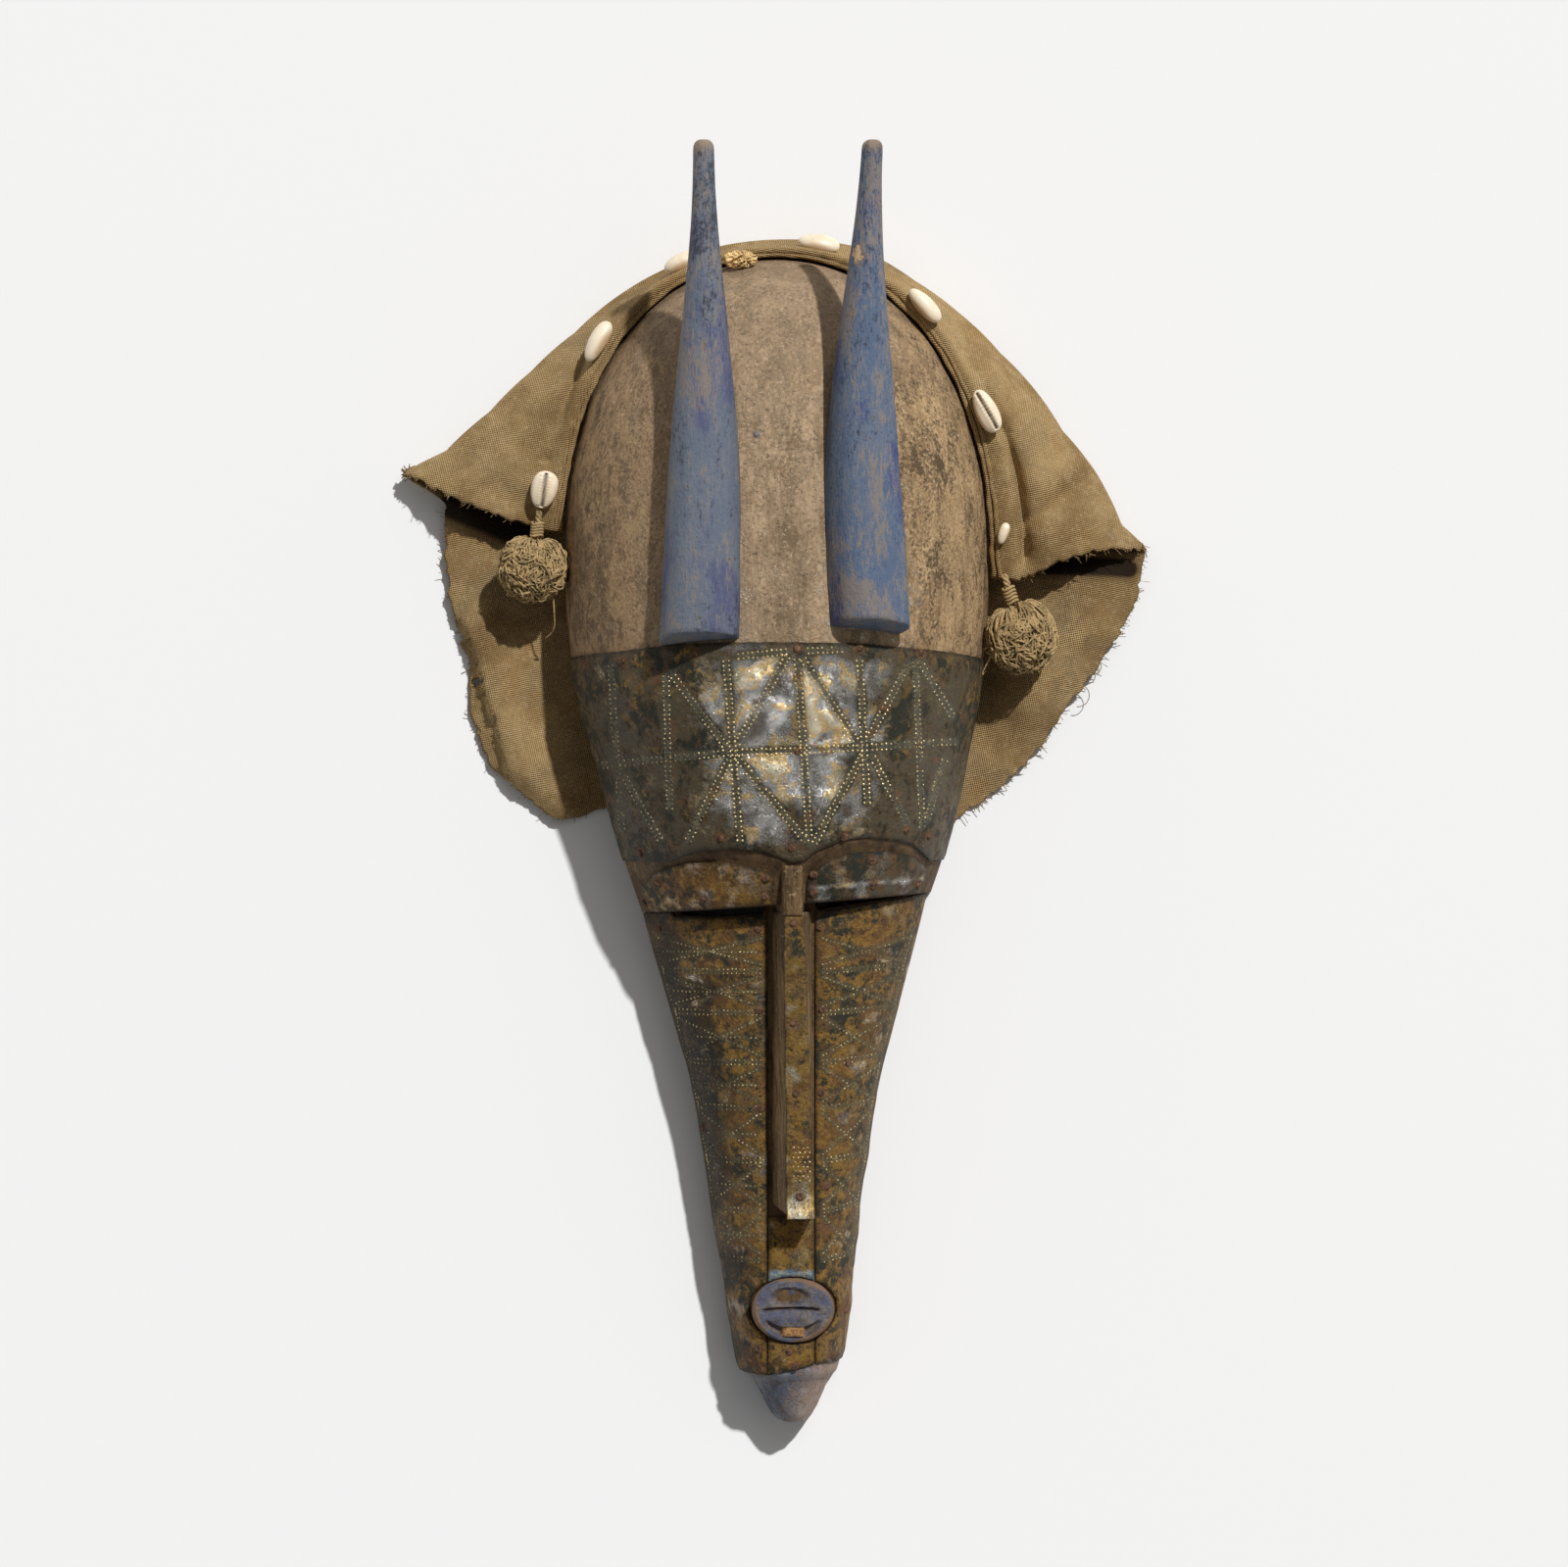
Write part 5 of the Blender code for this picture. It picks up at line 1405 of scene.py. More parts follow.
class MASK_OT_fit_plates(bpy.types.Operator):
    """Fit the brass plates over the forehead, the eyelids and the face"""

    bl_idname = "mask.fit_plates"
    bl_label = "Fit the brass plates"

    def execute(self, context):
        brass = context.scene.mask_brass
        bronze = aged_brass("rubbed_brass", brass, 0.10, 0.48, 1.10, False, (0.135, 0.135, 0.105))
        patchy = aged_brass("brown_brass", brass, 0.3, 0.80, 0.2)
        dark = aged_brass("green_black_brass", brass, 0.3, 0.1, 0.9)
        cheek = aged_brass("ochre_brass", brass, 0.2, 0.78, 0.25)
        lip = aged_brass("lip_brass", brass, 1.0, 1.15, 0.10, True, bare_metal=(0.66, 0.50, 0.24))
        sheet_piece(
            "forehead_sheet",
            "head",
            forehead_grid(),
            bronze,
            FOREHEAD_NAILS,
            forehead_shine,
            ["forehead_plate"],
            line_field(FOREHEAD_LINES, brass.band),
        )
        cheek_band = line_field([line for line, _ in cheek_lines()], brass.band * 0.7)
        for name, edges, finish, node in (
            ("left_eyelid", LEFT_LID_EDGES, patchy, "left_eyelid_plate"),
            ("right_eyelid", RIGHT_LID_EDGES, dark, "right_eyelid_plate"),
        ):
            sheet_piece(name, "head", eyelid_grid(edges), finish, LID_NAILS, lid_shine, [node])
        for name, side, seam, end, node in (
            ("left_cheek_sheet", -1, LEFT_SEAM, CHEEK_END_LEFT, "left_cheek_plate"),
            ("right_cheek_sheet", 1, RIGHT_SEAM, CHEEK_END_RIGHT, "right_cheek_plate"),
        ):
            grid = cheek_grid(side, seam, end)
            sheet_piece(name, "face", grid, cheek, CHEEK_NAILS, cheek_shine, [node], cheek_band)
        left, right = LEFT_SEAM + SEAM_GAP, RIGHT_SEAM - SEAM_GAP
        upper = strip_grid(left, right, lambda x: NOSE_END - 0.0006, lambda x: mouth_edge(x, 1), 40, 30)
        sheet_piece("philtrum_sheet", "face", upper, lip, CHEEK_NAILS, cheek_shine, ["philtrum_strip"])
        lower = strip_grid(
            left,
            right,
            lambda x: mouth_edge(x, -1),
            lambda x: between(CHEEK_END_LEFT, CHEEK_END_RIGHT, (x - left) / (right - left)),
            24,
            34,
        )
        sheet_piece("chin_sheet", "face", lower, patchy, CHEEK_NAILS, cheek_shine, ["chin_strip"])
        rings, marks = [], []
        for step in range(110):
            y = between(NOSE_TOP - 0.0014, NOSE_END, step / 109)
            face_left, face_right = nose_face(y)
            front = nose_front(y)
            curl = ease((-0.1800 - y) / 0.008)
            ring = []
            for column in range(17):
                share = column / 16
                x = between(face_left, face_right, share)
                wave = 0.5 * dent(x, y) * math.sin(math.pi * share)
                wave += 0.0010 * curl * (0.5 + rough((x, y, 0.0), 330.0, 4.0))
                ring.append(Vector((x, y, front + wave - 0.0003 * (column in (0, 16)))))
            ring += [Vector((face_right, y, front - SHEET)), Vector((face_left, y, front - SHEET))]
            rings.append(ring)
            for point in ring:
                grime = 0.8 * ease(1.0 - min(point.x - face_left, face_right - point.x) / 0.0008)
                marks.append((nail_marks(point.x, y, NOSE_NAILS), nose_shine(point.x, y), grime, 0.0))
        golden = aged_brass("golden_brass", brass, 0.20, 1.15, 0.1, bare_metal=(0.72, 0.47, 0.16))
        loft_piece("nose_sheet", rings, golden, "sheet_brass", ["nose_strip"], marks)
        return {"FINISHED"}


def walk_line(points, step):
    """Places along a broken line, one every step, each with the way across it."""
    found = []
    left_over = 0.0
    for one, two in zip(points, points[1:]):
        one, two = Vector(one), Vector(two)
        length = (two - one).length
        way = (two - one).normalized()
        across = Vector((-way.y, way.x))
        reach = left_over
        while reach < length:
            found.append((one + way * reach, across))
            reach += step
        left_over = reach - length
    return found


def stud(place, out, radius, rise, sides=6):
    """Points and faces of one punched dot."""
    side = out.orthogonal().normalized()
    other = out.cross(side)
    points = [place + out * rise]
    for size, height in ((0.62, 0.72), (1.0, -0.15)):
        for step in range(sides):
            angle = 2.0 * math.pi * step / sides
            way = side * math.cos(angle) + other * math.sin(angle)
            points.append(place + way * radius * size + out * rise * height)
    faces = [(0, 1 + step, 1 + (step + 1) % sides) for step in range(sides)]
    for step in range(sides):
        after = (step + 1) % sides
        faces.append((1 + step, 1 + sides + step, 1 + sides + after, 1 + after))
    return points, faces


def stud_piece(name, kind, spots, radius, rise, material, seed):
    """Many punched dots over the head or the face as one piece."""
    chance = random.Random(seed)
    points, faces = [], []
    for x, y in spots:
        if chance.random() < 0.05:
            continue
        x += chance.uniform(-0.00018, 0.00018)
        y += chance.uniform(-0.00018, 0.00018)
        if kind == "nose":
            place, out = Vector((x, y, nose_front(y) + 0.4 * dent(x, y))), Vector((0.0, 0.0, 1.0))
        else:
            place, out = skin(kind, x, y, SHEET_GAP + SHEET + dent(x, y) * 0.9)
        size = radius * chance.uniform(0.78, 1.12)
        more, sheets = stud(place, out, size, rise * chance.uniform(0.7, 1.1))
        start = len(points)
        points += more
        faces += [tuple(start + corner for corner in face) for face in sheets]
    return add_piece(name, points, faces, material, "sheet_brass")


def cheek_lines():
    """Punched lines of the cheeks in millimetres: rows across, with crossed lines in between."""
    lines = []
    for side, seam in ((-1, LEFT_SEAM), (1, RIGHT_SEAM)):
        levels = [-62.0] + list(CHEEK_ROWS)
        for high, low in zip(levels, levels[1:]):
            middle_y = (high + low) / 2.0
            half_high, _, shift = (value * 1000.0 for value in face_size(high / 1000.0))
            half_low = face_size(low / 1000.0)[0] * 1000.0
            inner = seam * 1000.0 + side * 3.0
            outer_high = shift + side * half_high * 0.93
            outer_low = shift + side * half_low * 0.93
            tilt = 2.0 if side > 0 else 0.0
            lines.append((((inner, low), (outer_low, low + tilt)), 2))
            lines.append((((inner, high - 2.5), (outer_low, low + 3.5)), 1))
            lines.append((((inner, low + 3.0), (outer_high, high - 2.0)), 1))
            lines.append((((outer_high, high), (outer_low, low)), 1))
            if side < 0:
                lines.append((((inner + side * 2.0, middle_y), (outer_low, middle_y)), 1))
    return lines


class MASK_OT_punch_dots(bpy.types.Operator):
    """Punch the lines of dots into the plates"""

    bl_idname = "mask.punch_dots"
    bl_label = "Punch the dots"

    def execute(self, context):
        brass = context.scene.mask_brass
        bright = {True: [], False: []}
        for line in FOREHEAD_LINES:
            for place, across in walk_line(line, brass.dot_step * 1000.0):
                for row in (-0.5, 0.5):
                    x, y = (place + across * row * brass.row_gap * 1000.0) / 1000.0
                    top = FOREHEAD_TOP - 0.0012 - FOREHEAD_TOP_DROP * (x / 0.083) ** 2
                    if brow_line(x) + 0.0016 < y < top:
                        bright[abs(x - 0.014) < 0.036].append((x, y))
        gold = dot_brass("gold_dots", brass, 1.0)
        dull = dot_brass("dull_dots", brass, 0.55)
        stud_piece("forehead_dots_middle", "head", bright[True], brass.dot, 0.00055, gold, 11)
        stud_piece("forehead_dots_sides", "head", bright[False], brass.dot * 0.86, 0.00046, dull, 12)
        spots = []
        for line, rows in cheek_lines():
            for place, across in walk_line(line, 1.75):
                for row in (-0.5, 0.5) if rows == 2 else (0.0,):
                    x, y = (place + across * row * 1.9) / 1000.0
                    half, _, middle = face_size(y)
                    clear = seam_at(y, LEFT_SEAM, -1) - 0.001 > x or x > seam_at(y, RIGHT_SEAM, 1) + 0.001
                    if clear and abs(x - middle) < half * 0.95 and y < ledge_line(x) - 0.0065:
                        spots.append((x, y))
        finish = dot_brass("cheek_dots", brass, 0.50)
        stud_piece("cheek_dots", "face", spots, 0.00052, 0.00038, finish, 13)
        spots = []
        for row in range(8):
            for column in range(4):
                spots.append((0.0086 + column * 0.0021 + 0.0008 * (row % 2), -0.1565 - row * 0.0021))
        stud_piece("nose_dots", "nose", spots, 0.00050, 0.00036, dull, 14)
        return {"FINISHED"}


class MASK_OT_drive_nails(bpy.types.Operator):
    """Drive the iron nails that hold the plates"""

    bl_idname = "mask.drive_nails"
    bl_label = "Drive the nails"

    def execute(self, context):
        brass = context.scene.mask_brass
        chance = random.Random(7)
        points, faces = [], []
        places = [("head", spot) for spot in FOREHEAD_NAILS + LID_NAILS]
        places += [("face", spot) for spot in CHEEK_NAILS]
        spots = []
        for kind, (x, y) in places:
            x, y = x / 1000.0, y / 1000.0
            spots.append(skin(kind, x, y, SHEET_GAP + SHEET + dent(x, y) * 0.9))
        for x, y in NOSE_NAILS:
            height = nose_front(y / 1000.0) + 0.0002
            spots.append((Vector((x / 1000.0, y / 1000.0, height)), Vector((0.0, 0.0, 1.0))))
        for place, out in spots:
            side = out.orthogonal().normalized()
            other = out.cross(side)
            radius = brass.nail * chance.uniform(0.80, 1.15)
            tilt = Vector((chance.uniform(-0.25, 0.25), chance.uniform(-0.25, 0.25), 0.0))
            start = len(points)
            points.append(place + out * 0.00050)
            for size, height in ((0.35, 0.00062), (0.75, 0.00060), (1.0, 0.00028), (1.06, -0.00035)):
                for step in range(12):
                    angle = 2.0 * math.pi * step / 12
                    way = side * math.cos(angle) + other * math.sin(angle)
                    uneven = 1.0 + 0.12 * rough(way + place * 400.0, 1.0)
                    lean = radius * size * way.dot(tilt) * 0.5
                    points.append(place + way * radius * size * uneven + out * (height + lean))
            faces += [(start, start + 1 + step, start + 1 + (step + 1) % 12) for step in range(12)]
            faces += grid_faces(4, 12, start + 1, True)
        add_piece("nails", points, faces, rusty_iron("rusty_iron"), "sheet_brass")
        points, faces = stud(*skin("head", *DOME_NAIL, 0.0002), 0.0017, 0.0011, 12)
        add_piece("dome_nail", points, faces, worn_paint("nail_paint", context.scene.mask_wood), "sheet_brass")
        return {"FINISHED"}


def outline_radius(bearing):
    bearing %= 360.0
    for (low, one), (high, two) in zip(CLOTH_OUTLINE, CLOTH_OUTLINE[1:]):
        if low <= bearing <= high:
            return between(one, two, (bearing - low) / (high - low))
    return CLOTH_OUTLINE[0][1]


def dome_radius(bearing, height):
    angle = math.radians(bearing)
    low, high = 0.02, 0.20
    for _ in range(24):
        radius = (low + high) / 2.0
        x = CLOTH_MIDDLE[0] + radius * math.cos(angle)
        y = CLOTH_MIDDLE[1] + radius * math.sin(angle)
        half, crown, middle = head_size(y)
        inside = y < DOME_TOP and abs(x - middle) < half
        if inside:
            rise = power_arc((x - middle) / half, HEAD_SQUARENESS)
            inside = head_back(y) + (crown - head_back(y)) * rise > height
        low, high = (radius, high) if inside else (low, radius)
    return (low + high) / 2.0


def cloth_place(bearing, radius, height):
    angle = math.radians(bearing)
    x, y = CLOTH_MIDDLE
    return Vector((x + radius * math.cos(angle), y + radius * math.sin(angle), height))


def crease_height(x, y, creases):
    """Height that the creases take away or add at x and y."""
    height = 0.0
    spot = Vector((x * 1000.0, y * 1000.0))
    for start, end, depth, width in creases:
        start, end = Vector(start), Vector(end)
        way = end - start
        share = (spot - start).dot(way) / way.length_squared
        near = (spot - start - way * min(max(share, 0.0), 1.0)).length
        fade = ease((share + 0.25) / 0.3) * ease((1.25 - share) / 0.3)
        height -= depth / 1000.0 * math.exp(-((near / width) ** 2)) * fade
    return height


def past_step(x, y):
    """How far a place on the left panel lies past the raw edge of its front layer, in millimetres."""
    spot = Vector((x * 1000.0, y * 1000.0))
    best, found = 1e9, 0.0
    for one, two in zip(PANEL_STEP, PANEL_STEP[1:]):
        one, two = Vector(one), Vector(two)
        way = two - one
        share = min(max((spot - one).dot(way) / way.length_squared, 0.0), 1.0)
        away = spot - one - way * share
        if away.length < best:
            best = away.length
            found = away.length if way.x * away.y - way.y * away.x < 0.0 else -away.length
    top, low = PANEL_STEP[0][1], PANEL_STEP[-1][1]
    return found if low < spot.y < top else -1e3


def flap_shade(x, y):
    """Painted shadow on the layer behind the flap's two open ends."""
    found = 0.0
    for one, two, reach in FLAP_ENDS:
        one, two = Vector(one), Vector(two)
        way = two - one
        share = min(max((Vector((x, y)) - one).dot(way) / way.length_squared, 0.0), 1.0)
        near = (Vector((x, y)) - one - way * share).length
        found = max(found, math.exp(-((near / reach) ** 4)) * 1.2)
    return found


def rear_line(bearing, folded, wrinkle):
    """Points down the layer behind the dome at this bearing."""
    outer = outline_radius(bearing)
    rim = dome_radius(bearing, DOME_BACK + 0.0005) + (0.001 if folded else 0.003)
    rise = PANEL_RISE * ease((outer - rim - 0.008) / 0.024)
    rim = min(rim, outer * 0.9)
    flat = CLOTH_LEVEL
    nodes = [(rim * 0.04, flat), (rim * 0.4, flat), (rim * 0.8, flat), (rim, flat)]
    if folded:
        room = outer - rim
        nodes.append((between(rim, outer, 0.5), flat))
        nodes.append((outer - min(FOLD_RADIUS * 0.5, room * 0.3), FOLD_HEIGHT - FOLD_RADIUS))
        nodes.append((outer, FOLD_HEIGHT))
    else:
        ragged = 0.0016 * rough((bearing * 0.45, 0.0, 0.0), 1.0)
        ragged += 0.0013 * rough((bearing * 1.3, 4.0, 0.0), 1.0)
        nodes.append((between(rim, outer, 0.40), flat + rise * 0.55))
        nodes.append((between(rim, outer, 0.75), flat + rise))
        nodes.append((outer + ragged, flat + rise * 0.45))
    line = []
    for radius, height in smooth_row(nodes, 7):
        spot = cloth_place(bearing, radius, max(height, flat))
        if not folded and radius > rim:
            free = ease((radius - rim) / 0.012)
            height = spot.z + free * crease_height(spot.x, spot.y, PANEL_CREASES)
            height += free * wrinkle * (rough(spot, 38.0, 2.0) + 0.5 * rough(spot, 95.0, 5.0) + 0.6)
            if spot.x < -0.08:
                past = past_step(spot.x, spot.y) + 0.8 * rough(spot, 300.0, 3.0)
                height += 0.0016 * math.exp(-(((past + 1.5) / 2.2) ** 2)) - 0.0034 * ease((past + 0.3) / 0.9)
            spot.z = max(height, flat)
        line.append(spot)
    return line


def flap_line(share, wrinkle):
    """Points from the fold up to the hem at a share of the way round."""
    bearing = between(*FLAP_SPAN, share)
    outer = outline_radius(bearing)
    hem_bearing = between(*HEM_SPAN, share)
    hem = between(*HEM_HEIGHTS, math.sin(math.pi * share) ** 0.7)
    inner = dome_radius(hem_bearing, hem) + HEM_CLEAR
    room = outer - inner
    wide = 1.0 - ease((share - 0.10) / 0.25)
    width = min(between(HEM_WIDTH, 2.0 * HEM_WIDTH, wide), room * 0.35)
    nodes = [(bearing, outer, FOLD_HEIGHT), (bearing, outer - FOLD_RADIUS * 0.5, FOLD_HEIGHT + FOLD_RADIUS)]
    for step in (1, 2, 3):
        part = step / 4.0
        radius = between(outer - FOLD_RADIUS * 0.5, inner + width, part)
        height = between(FOLD_HEIGHT + FOLD_RADIUS, hem + HEM_RISE, part)
        height += FLAP_BULGE * min(room / 0.06, 1.0) * math.sin(math.pi * part)
        turned = part ** between(1.0, 2.6, ease(1.0 - share / 0.15))
        nodes.append((between(bearing, hem_bearing, turned), radius, height))
    nodes.append((hem_bearing, inner + width, hem + HEM_RISE))
    rows = smooth_row(nodes, 8)
    line = []
    end_pull = 0.0012 * (rough((share * 60.0, 1.0, 0.0), 1.0))
    for place, (turn, radius, height) in enumerate(rows):
        ragged = 0.0016 * rough((place * 0.55, share * 30.0, 0.0), 1.0)
        ragged += 0.0010 * rough((place * 1.4, 7.0, 0.0), 1.0)
        edge = max(1.0 - share * 90.0, 0.0) + max(1.0 - (1.0 - share) * 90.0, 0.0)
        turn += math.degrees(ragged * edge / max(radius, 0.05)) * 1.4 * ease(place / 3.0)
        spot = cloth_place(turn, radius, height)
        free = ease(place / 8.0) * ease((len(rows) - 1 - place) / 7.0)
        valley = math.exp(-(((radius - inner - width - 0.0030) / 0.0026) ** 2))
        spot.z -= 0.0062 * valley * wide * ease(share / 0.03)
        spot.z += 0.0022 * math.exp(-(((radius - inner - width - 0.0105) / 0.0050) ** 2)) * wide
        spot.z -= 0.0034 * valley * ease((share - 0.62) / 0.16) * ease((0.90 - share) / 0.06)
        spot.z += free * crease_height(spot.x, spot.y, FLAP_CREASES)
        spot.z += free * wrinkle * (rough(spot, 42.0, 8.0) + 0.5 * rough(spot, 105.0, 3.0))
        line.append(spot)
    for step in range(1, 7):
        part = step / 6.0
        radius = inner + width * (1.0 - part)
        lip = 0.0014 * math.sin(math.pi * part) + 0.0008 * (part < 0.4)
        height = hem + HEM_RISE * (1.0 - part) + lip - 0.001 * part
        line.append(cloth_place(hem_bearing, radius + end_pull * 0.3, height))
    return line


def cloth_grids():
    wrinkle = bpy.context.scene.mask_cloth.wrinkle
    columns = 260
    flap_bearings = [between(*FLAP_SPAN, step / columns) for step in range(columns + 1)]
    rest = 300
    free_bearings = [between(FLAP_SPAN[1], 360.0, step / rest) for step in range(1, rest)]
    rear = [rear_line(bearing, True, wrinkle) for bearing in flap_bearings]
    rear += [rear_line(bearing, False, wrinkle) for bearing in free_bearings]
    blend = 7
    for side in range(1, blend + 1):
        share = ease(side / (blend + 1))
        for place, base in ((columns + side, rear[columns]), (len(rear) - side, rear[0])):
            for index, spot in enumerate(rear[place]):
                spot.z = between(min(base[index].z, 0.02), spot.z, share)
    flap = [flap_line(step / columns, wrinkle) for step in range(columns + 1)]
    for line, low in zip(flap, rear):
        line[0] = low[-1]
    return rear, flap


class MASK_OT_drape_cloth(bpy.types.Operator):
    """Drape the cloth round the back of the head and fray its edges"""

    bl_idname = "mask.drape_cloth"
    bl_label = "Drape the cloth"

    def execute(self, context):
        cloth = context.scene.mask_cloth
        rear, flap = cloth_grids()
        long_row = len(rear[0])
        points = [spot for line in rear for spot in line]
        faces = []
        for column in range(len(rear)):
            after = (column + 1) % len(rear)
            for row in range(long_row - 1):
                one, two = column * long_row + row, after * long_row + row
                faces.append((one, one + 1, two + 1, two))
        middle = len(points)
        points.append(cloth_place(0.0, 0.0, CLOTH_LEVEL))
        for column in range(len(rear)):
            faces.append((middle, column * long_row, ((column + 1) % len(rear)) * long_row))
        start = len(points)
        flap_row = len(flap[0]) - 1
        for line in flap:
            points += line[1:]
        for column in range(len(flap) - 1):
            after = column + 1
            low, low_after = column * long_row + long_row - 1, after * long_row + long_row - 1
            faces.append((low, start + column * flap_row, start + after * flap_row, low_after))
            for row in range(flap_row - 1):
                one, two = start + column * flap_row + row, start + after * flap_row + row
                faces.append((one, one + 1, two + 1, two))
        kept = []
        for face in faces:
            spot = sum((Vector(points[corner]) for corner in face), Vector()) / len(face) * 1000.0
            torn = any(
                ((spot.x - x) / wide) ** 2 + ((spot.y - y) / tall) ** 2 < 1.0
                for (x, y), (wide, tall) in PANEL_HOLES
            )
            if not torn:
                kept.append(face)
        marks = []
        for place, spot in enumerate(points):
            dark = max(rough(spot, 26.0, 31.0) * 0.8, 0.0)
            if place < middle and spot.x < -0.10 and past_step(spot.x, spot.y) > 0.3:
                dark = max(dark, 0.15)
            # Painted shadow behind the flap's open ends, on top of the dirt.
            if place < middle:
                dark = max(dark, flap_shade(spot.x * 1000.0, spot.y * 1000.0))
            marks.append((dark, 0.0, 0.0))
        material = weave("hood_weave", cloth)
        hood = add_piece("hood_cloth", points, kept, material, "cloth", marks, ["cloth_hood"])
        thick = hood.modifiers.new("thickness", "SOLIDIFY")
        thick.thickness = cloth.thickness
        thick.offset = 0.0
        hem_material = weave("hem_weave", cloth, 0.12)
        rolls = []
        for lift, inset, radius in ((0.0004, 0.0006, 0.00125), (0.0016, 0.0028, 0.00105)):
            line = []
            for step in range(241):
                share = step / 240
                bearing = between(*HEM_SPAN, share)
                hem = between(*HEM_HEIGHTS, math.sin(math.pi * share) ** 0.7)
                uneven = 0.0007 * rough((share * 40.0, lift * 900.0, 0.0), 1.0)
                radius_here = dome_radius(bearing, hem) + HEM_CLEAR + inset + uneven
                line.append(cloth_place(bearing, radius_here, hem + lift + 0.0004))

            def swell(part, size=radius):
                return size * (1.0 + 0.25 * rough((part * 90.0, size * 9000.0, 0.0), 1.0))

            rolls.append((line, swell, 8))
        hem = gather("hem_roll", rolls, hem_material, "cloth")
        fray = self.fray(context, rear, flap, material)
        return {"FINISHED"}

    def fray(self, context, rear, flap, material):
        """Loose threads along the raw edges."""
        cloth = context.scene.mask_cloth
        chance = random.Random(5)
        edges = []
        columns = len(flap)
        for column in range(columns, len(rear)):
            edges.append((rear[column][-1], rear[column][-2]))
        for line, after in ((flap[-1], flap[-4]), (flap[0], flap[3])):
            for one, two in zip(line, after):
                edges.append((one, two))
        strands = []
        for _ in range(cloth.fray):
            edge, inner = chance.choice(edges)
            out = (edge - inner).normalized()
            drift = Vector((chance.uniform(-1, 1), chance.uniform(-1, 1), chance.uniform(-0.5, 0.5)))
            length = chance.choice((0.0008, 0.0012, 0.0018, 0.0030)) * chance.uniform(0.6, 1.3)
            line = []
            for step in range(5):
                share = step / 4
                line.append(edge + out * (share * length - 0.0006) + drift * length * 0.45 * share * share)
            strands.append(([Vector((p.x, p.y, max(p.z, 0.0006))) for p in line], 0.00016, 4))
        corners = [tuple(spot) for line in rear for spot in line]
        tree = BVHTree.FromPolygons(corners, grid_faces(len(rear), len(rear[0])))
        for one, two in zip(PANEL_STEP, PANEL_STEP[1:]):
            one, two = Vector(one), Vector(two)
            for _ in range(round((two - one).length * 2.6)):
                spot = one.lerp(two, chance.random()) / 1000.0
                seat = tree.ray_cast(Vector((*spot, 0.1)), Vector((0.0, 0.0, -1.0)))[0]
                if seat:
                    reach = Vector((chance.uniform(-2.6, -0.4), chance.uniform(-1.2, 1.2), 0.0)) / 1000.0
                    start = seat + Vector((0.0012, 0.0, 0.0018))
                    fall = reach + Vector((0.0, 0.0, -0.001))
                    line = [start + fall * share for share in (0.0, 0.4, 0.7, 1.0)]
                    strands.append((line, 0.00020, 4))
        for bearing, length in LONG_THREADS:
            line = []
            curl = chance.uniform(1.2, 5.6) * chance.choice((-1.0, 1.0))
            way = chance.uniform(-1.6, 1.0)
            place = cloth_place(bearing, outline_radius(bearing) - 0.0015, 0.006)
            for _ in range(14):
                line.append(place.copy())
                place += Vector((math.cos(way), math.sin(way), -0.03)) * length / 14
                way += curl / 14
            strands.append((line, 0.00020, 5))
        tip = cloth_place(FLAP_SPAN[1] - 0.4, outline_radius(FLAP_SPAN[1]) - 0.0030, FOLD_HEIGHT + 0.001)
        for _ in range(46):
            way = Vector([chance.uniform(-1.0, 1.0) for _ in range(3)]).normalized()
            other = way.orthogonal().normalized()
            size = chance.uniform(0.0014, 0.0028)
            line = [
                tip + way * size * math.sin(2.4 * share) + other * size * (math.cos(5.0 * share) - 0.6)
                for share in (0.0, 0.2, 0.4, 0.6, 0.8, 1.0)
            ]
            strands.append((line, 0.00028, 4))
        return gather("frayed_threads", strands, material, "cloth")


def cowrie(length, width, height, mouth_up, seed):
    """Points, faces and marks of one shell, its long side along X and its seat at Z 0."""
    points, faces, marks = [], [], []
    rings, sides = 40, 44
    for ring in range(rings + 1):
        share = ring / rings
        along = -math.cos(math.pi * share)
        around = math.sin(math.pi * share) ** 0.85
        egg = 1.0 + 0.13 * along
        for side in range(sides):
            angle = 2.0 * math.pi * side / sides
            across, up = math.cos(angle), math.sin(angle)
            x = along * length / 2.0
            y = across * around * width / 2.0 * egg
            if up > 0.0:
                z = up**0.85 * around * height * (0.62 if not mouth_up else 0.50)
            else:
                z = up * around * height * 0.38
            shaded_groove, lip = 0.0, 0.0
            edge = ease((abs(across) * around - 0.62) / 0.38) * 0.8
            if mouth_up and up > 0.0:
                # The mouth groove is only shallow; its near-black colour is painted shade.
                line = y - 0.06 * width * math.sin(along * 1.6)
                shaded_groove = math.exp(-((line / (width * 0.060)) ** 2)) * ease((0.93 - abs(along)) / 0.08)
                teeth = math.cos(2.0 * math.pi * x / (length / 13.0))
                near = math.exp(-(((abs(line) - width * 0.13) / (width * 0.10)) ** 2))
                near *= ease((0.86 - abs(along)) / 0.1)
                z += height * (0.05 * near + 0.040 * near * teeth - 0.26 * shaded_groove)
                lip = near * max(-teeth, 0.0) * 0.65
                edge *= 0.6
            elif up > 0.0:
                z += height * 0.015 * rough((x * 300.0, y * 300.0, seed), 1.0)
            points.append(Vector((x, y, z + height * 0.38)))
            marks.append((max(edge, lip), shaded_groove, 0.0))
    faces = grid_faces(rings + 1, sides, 0, True)
    return points, faces, marks


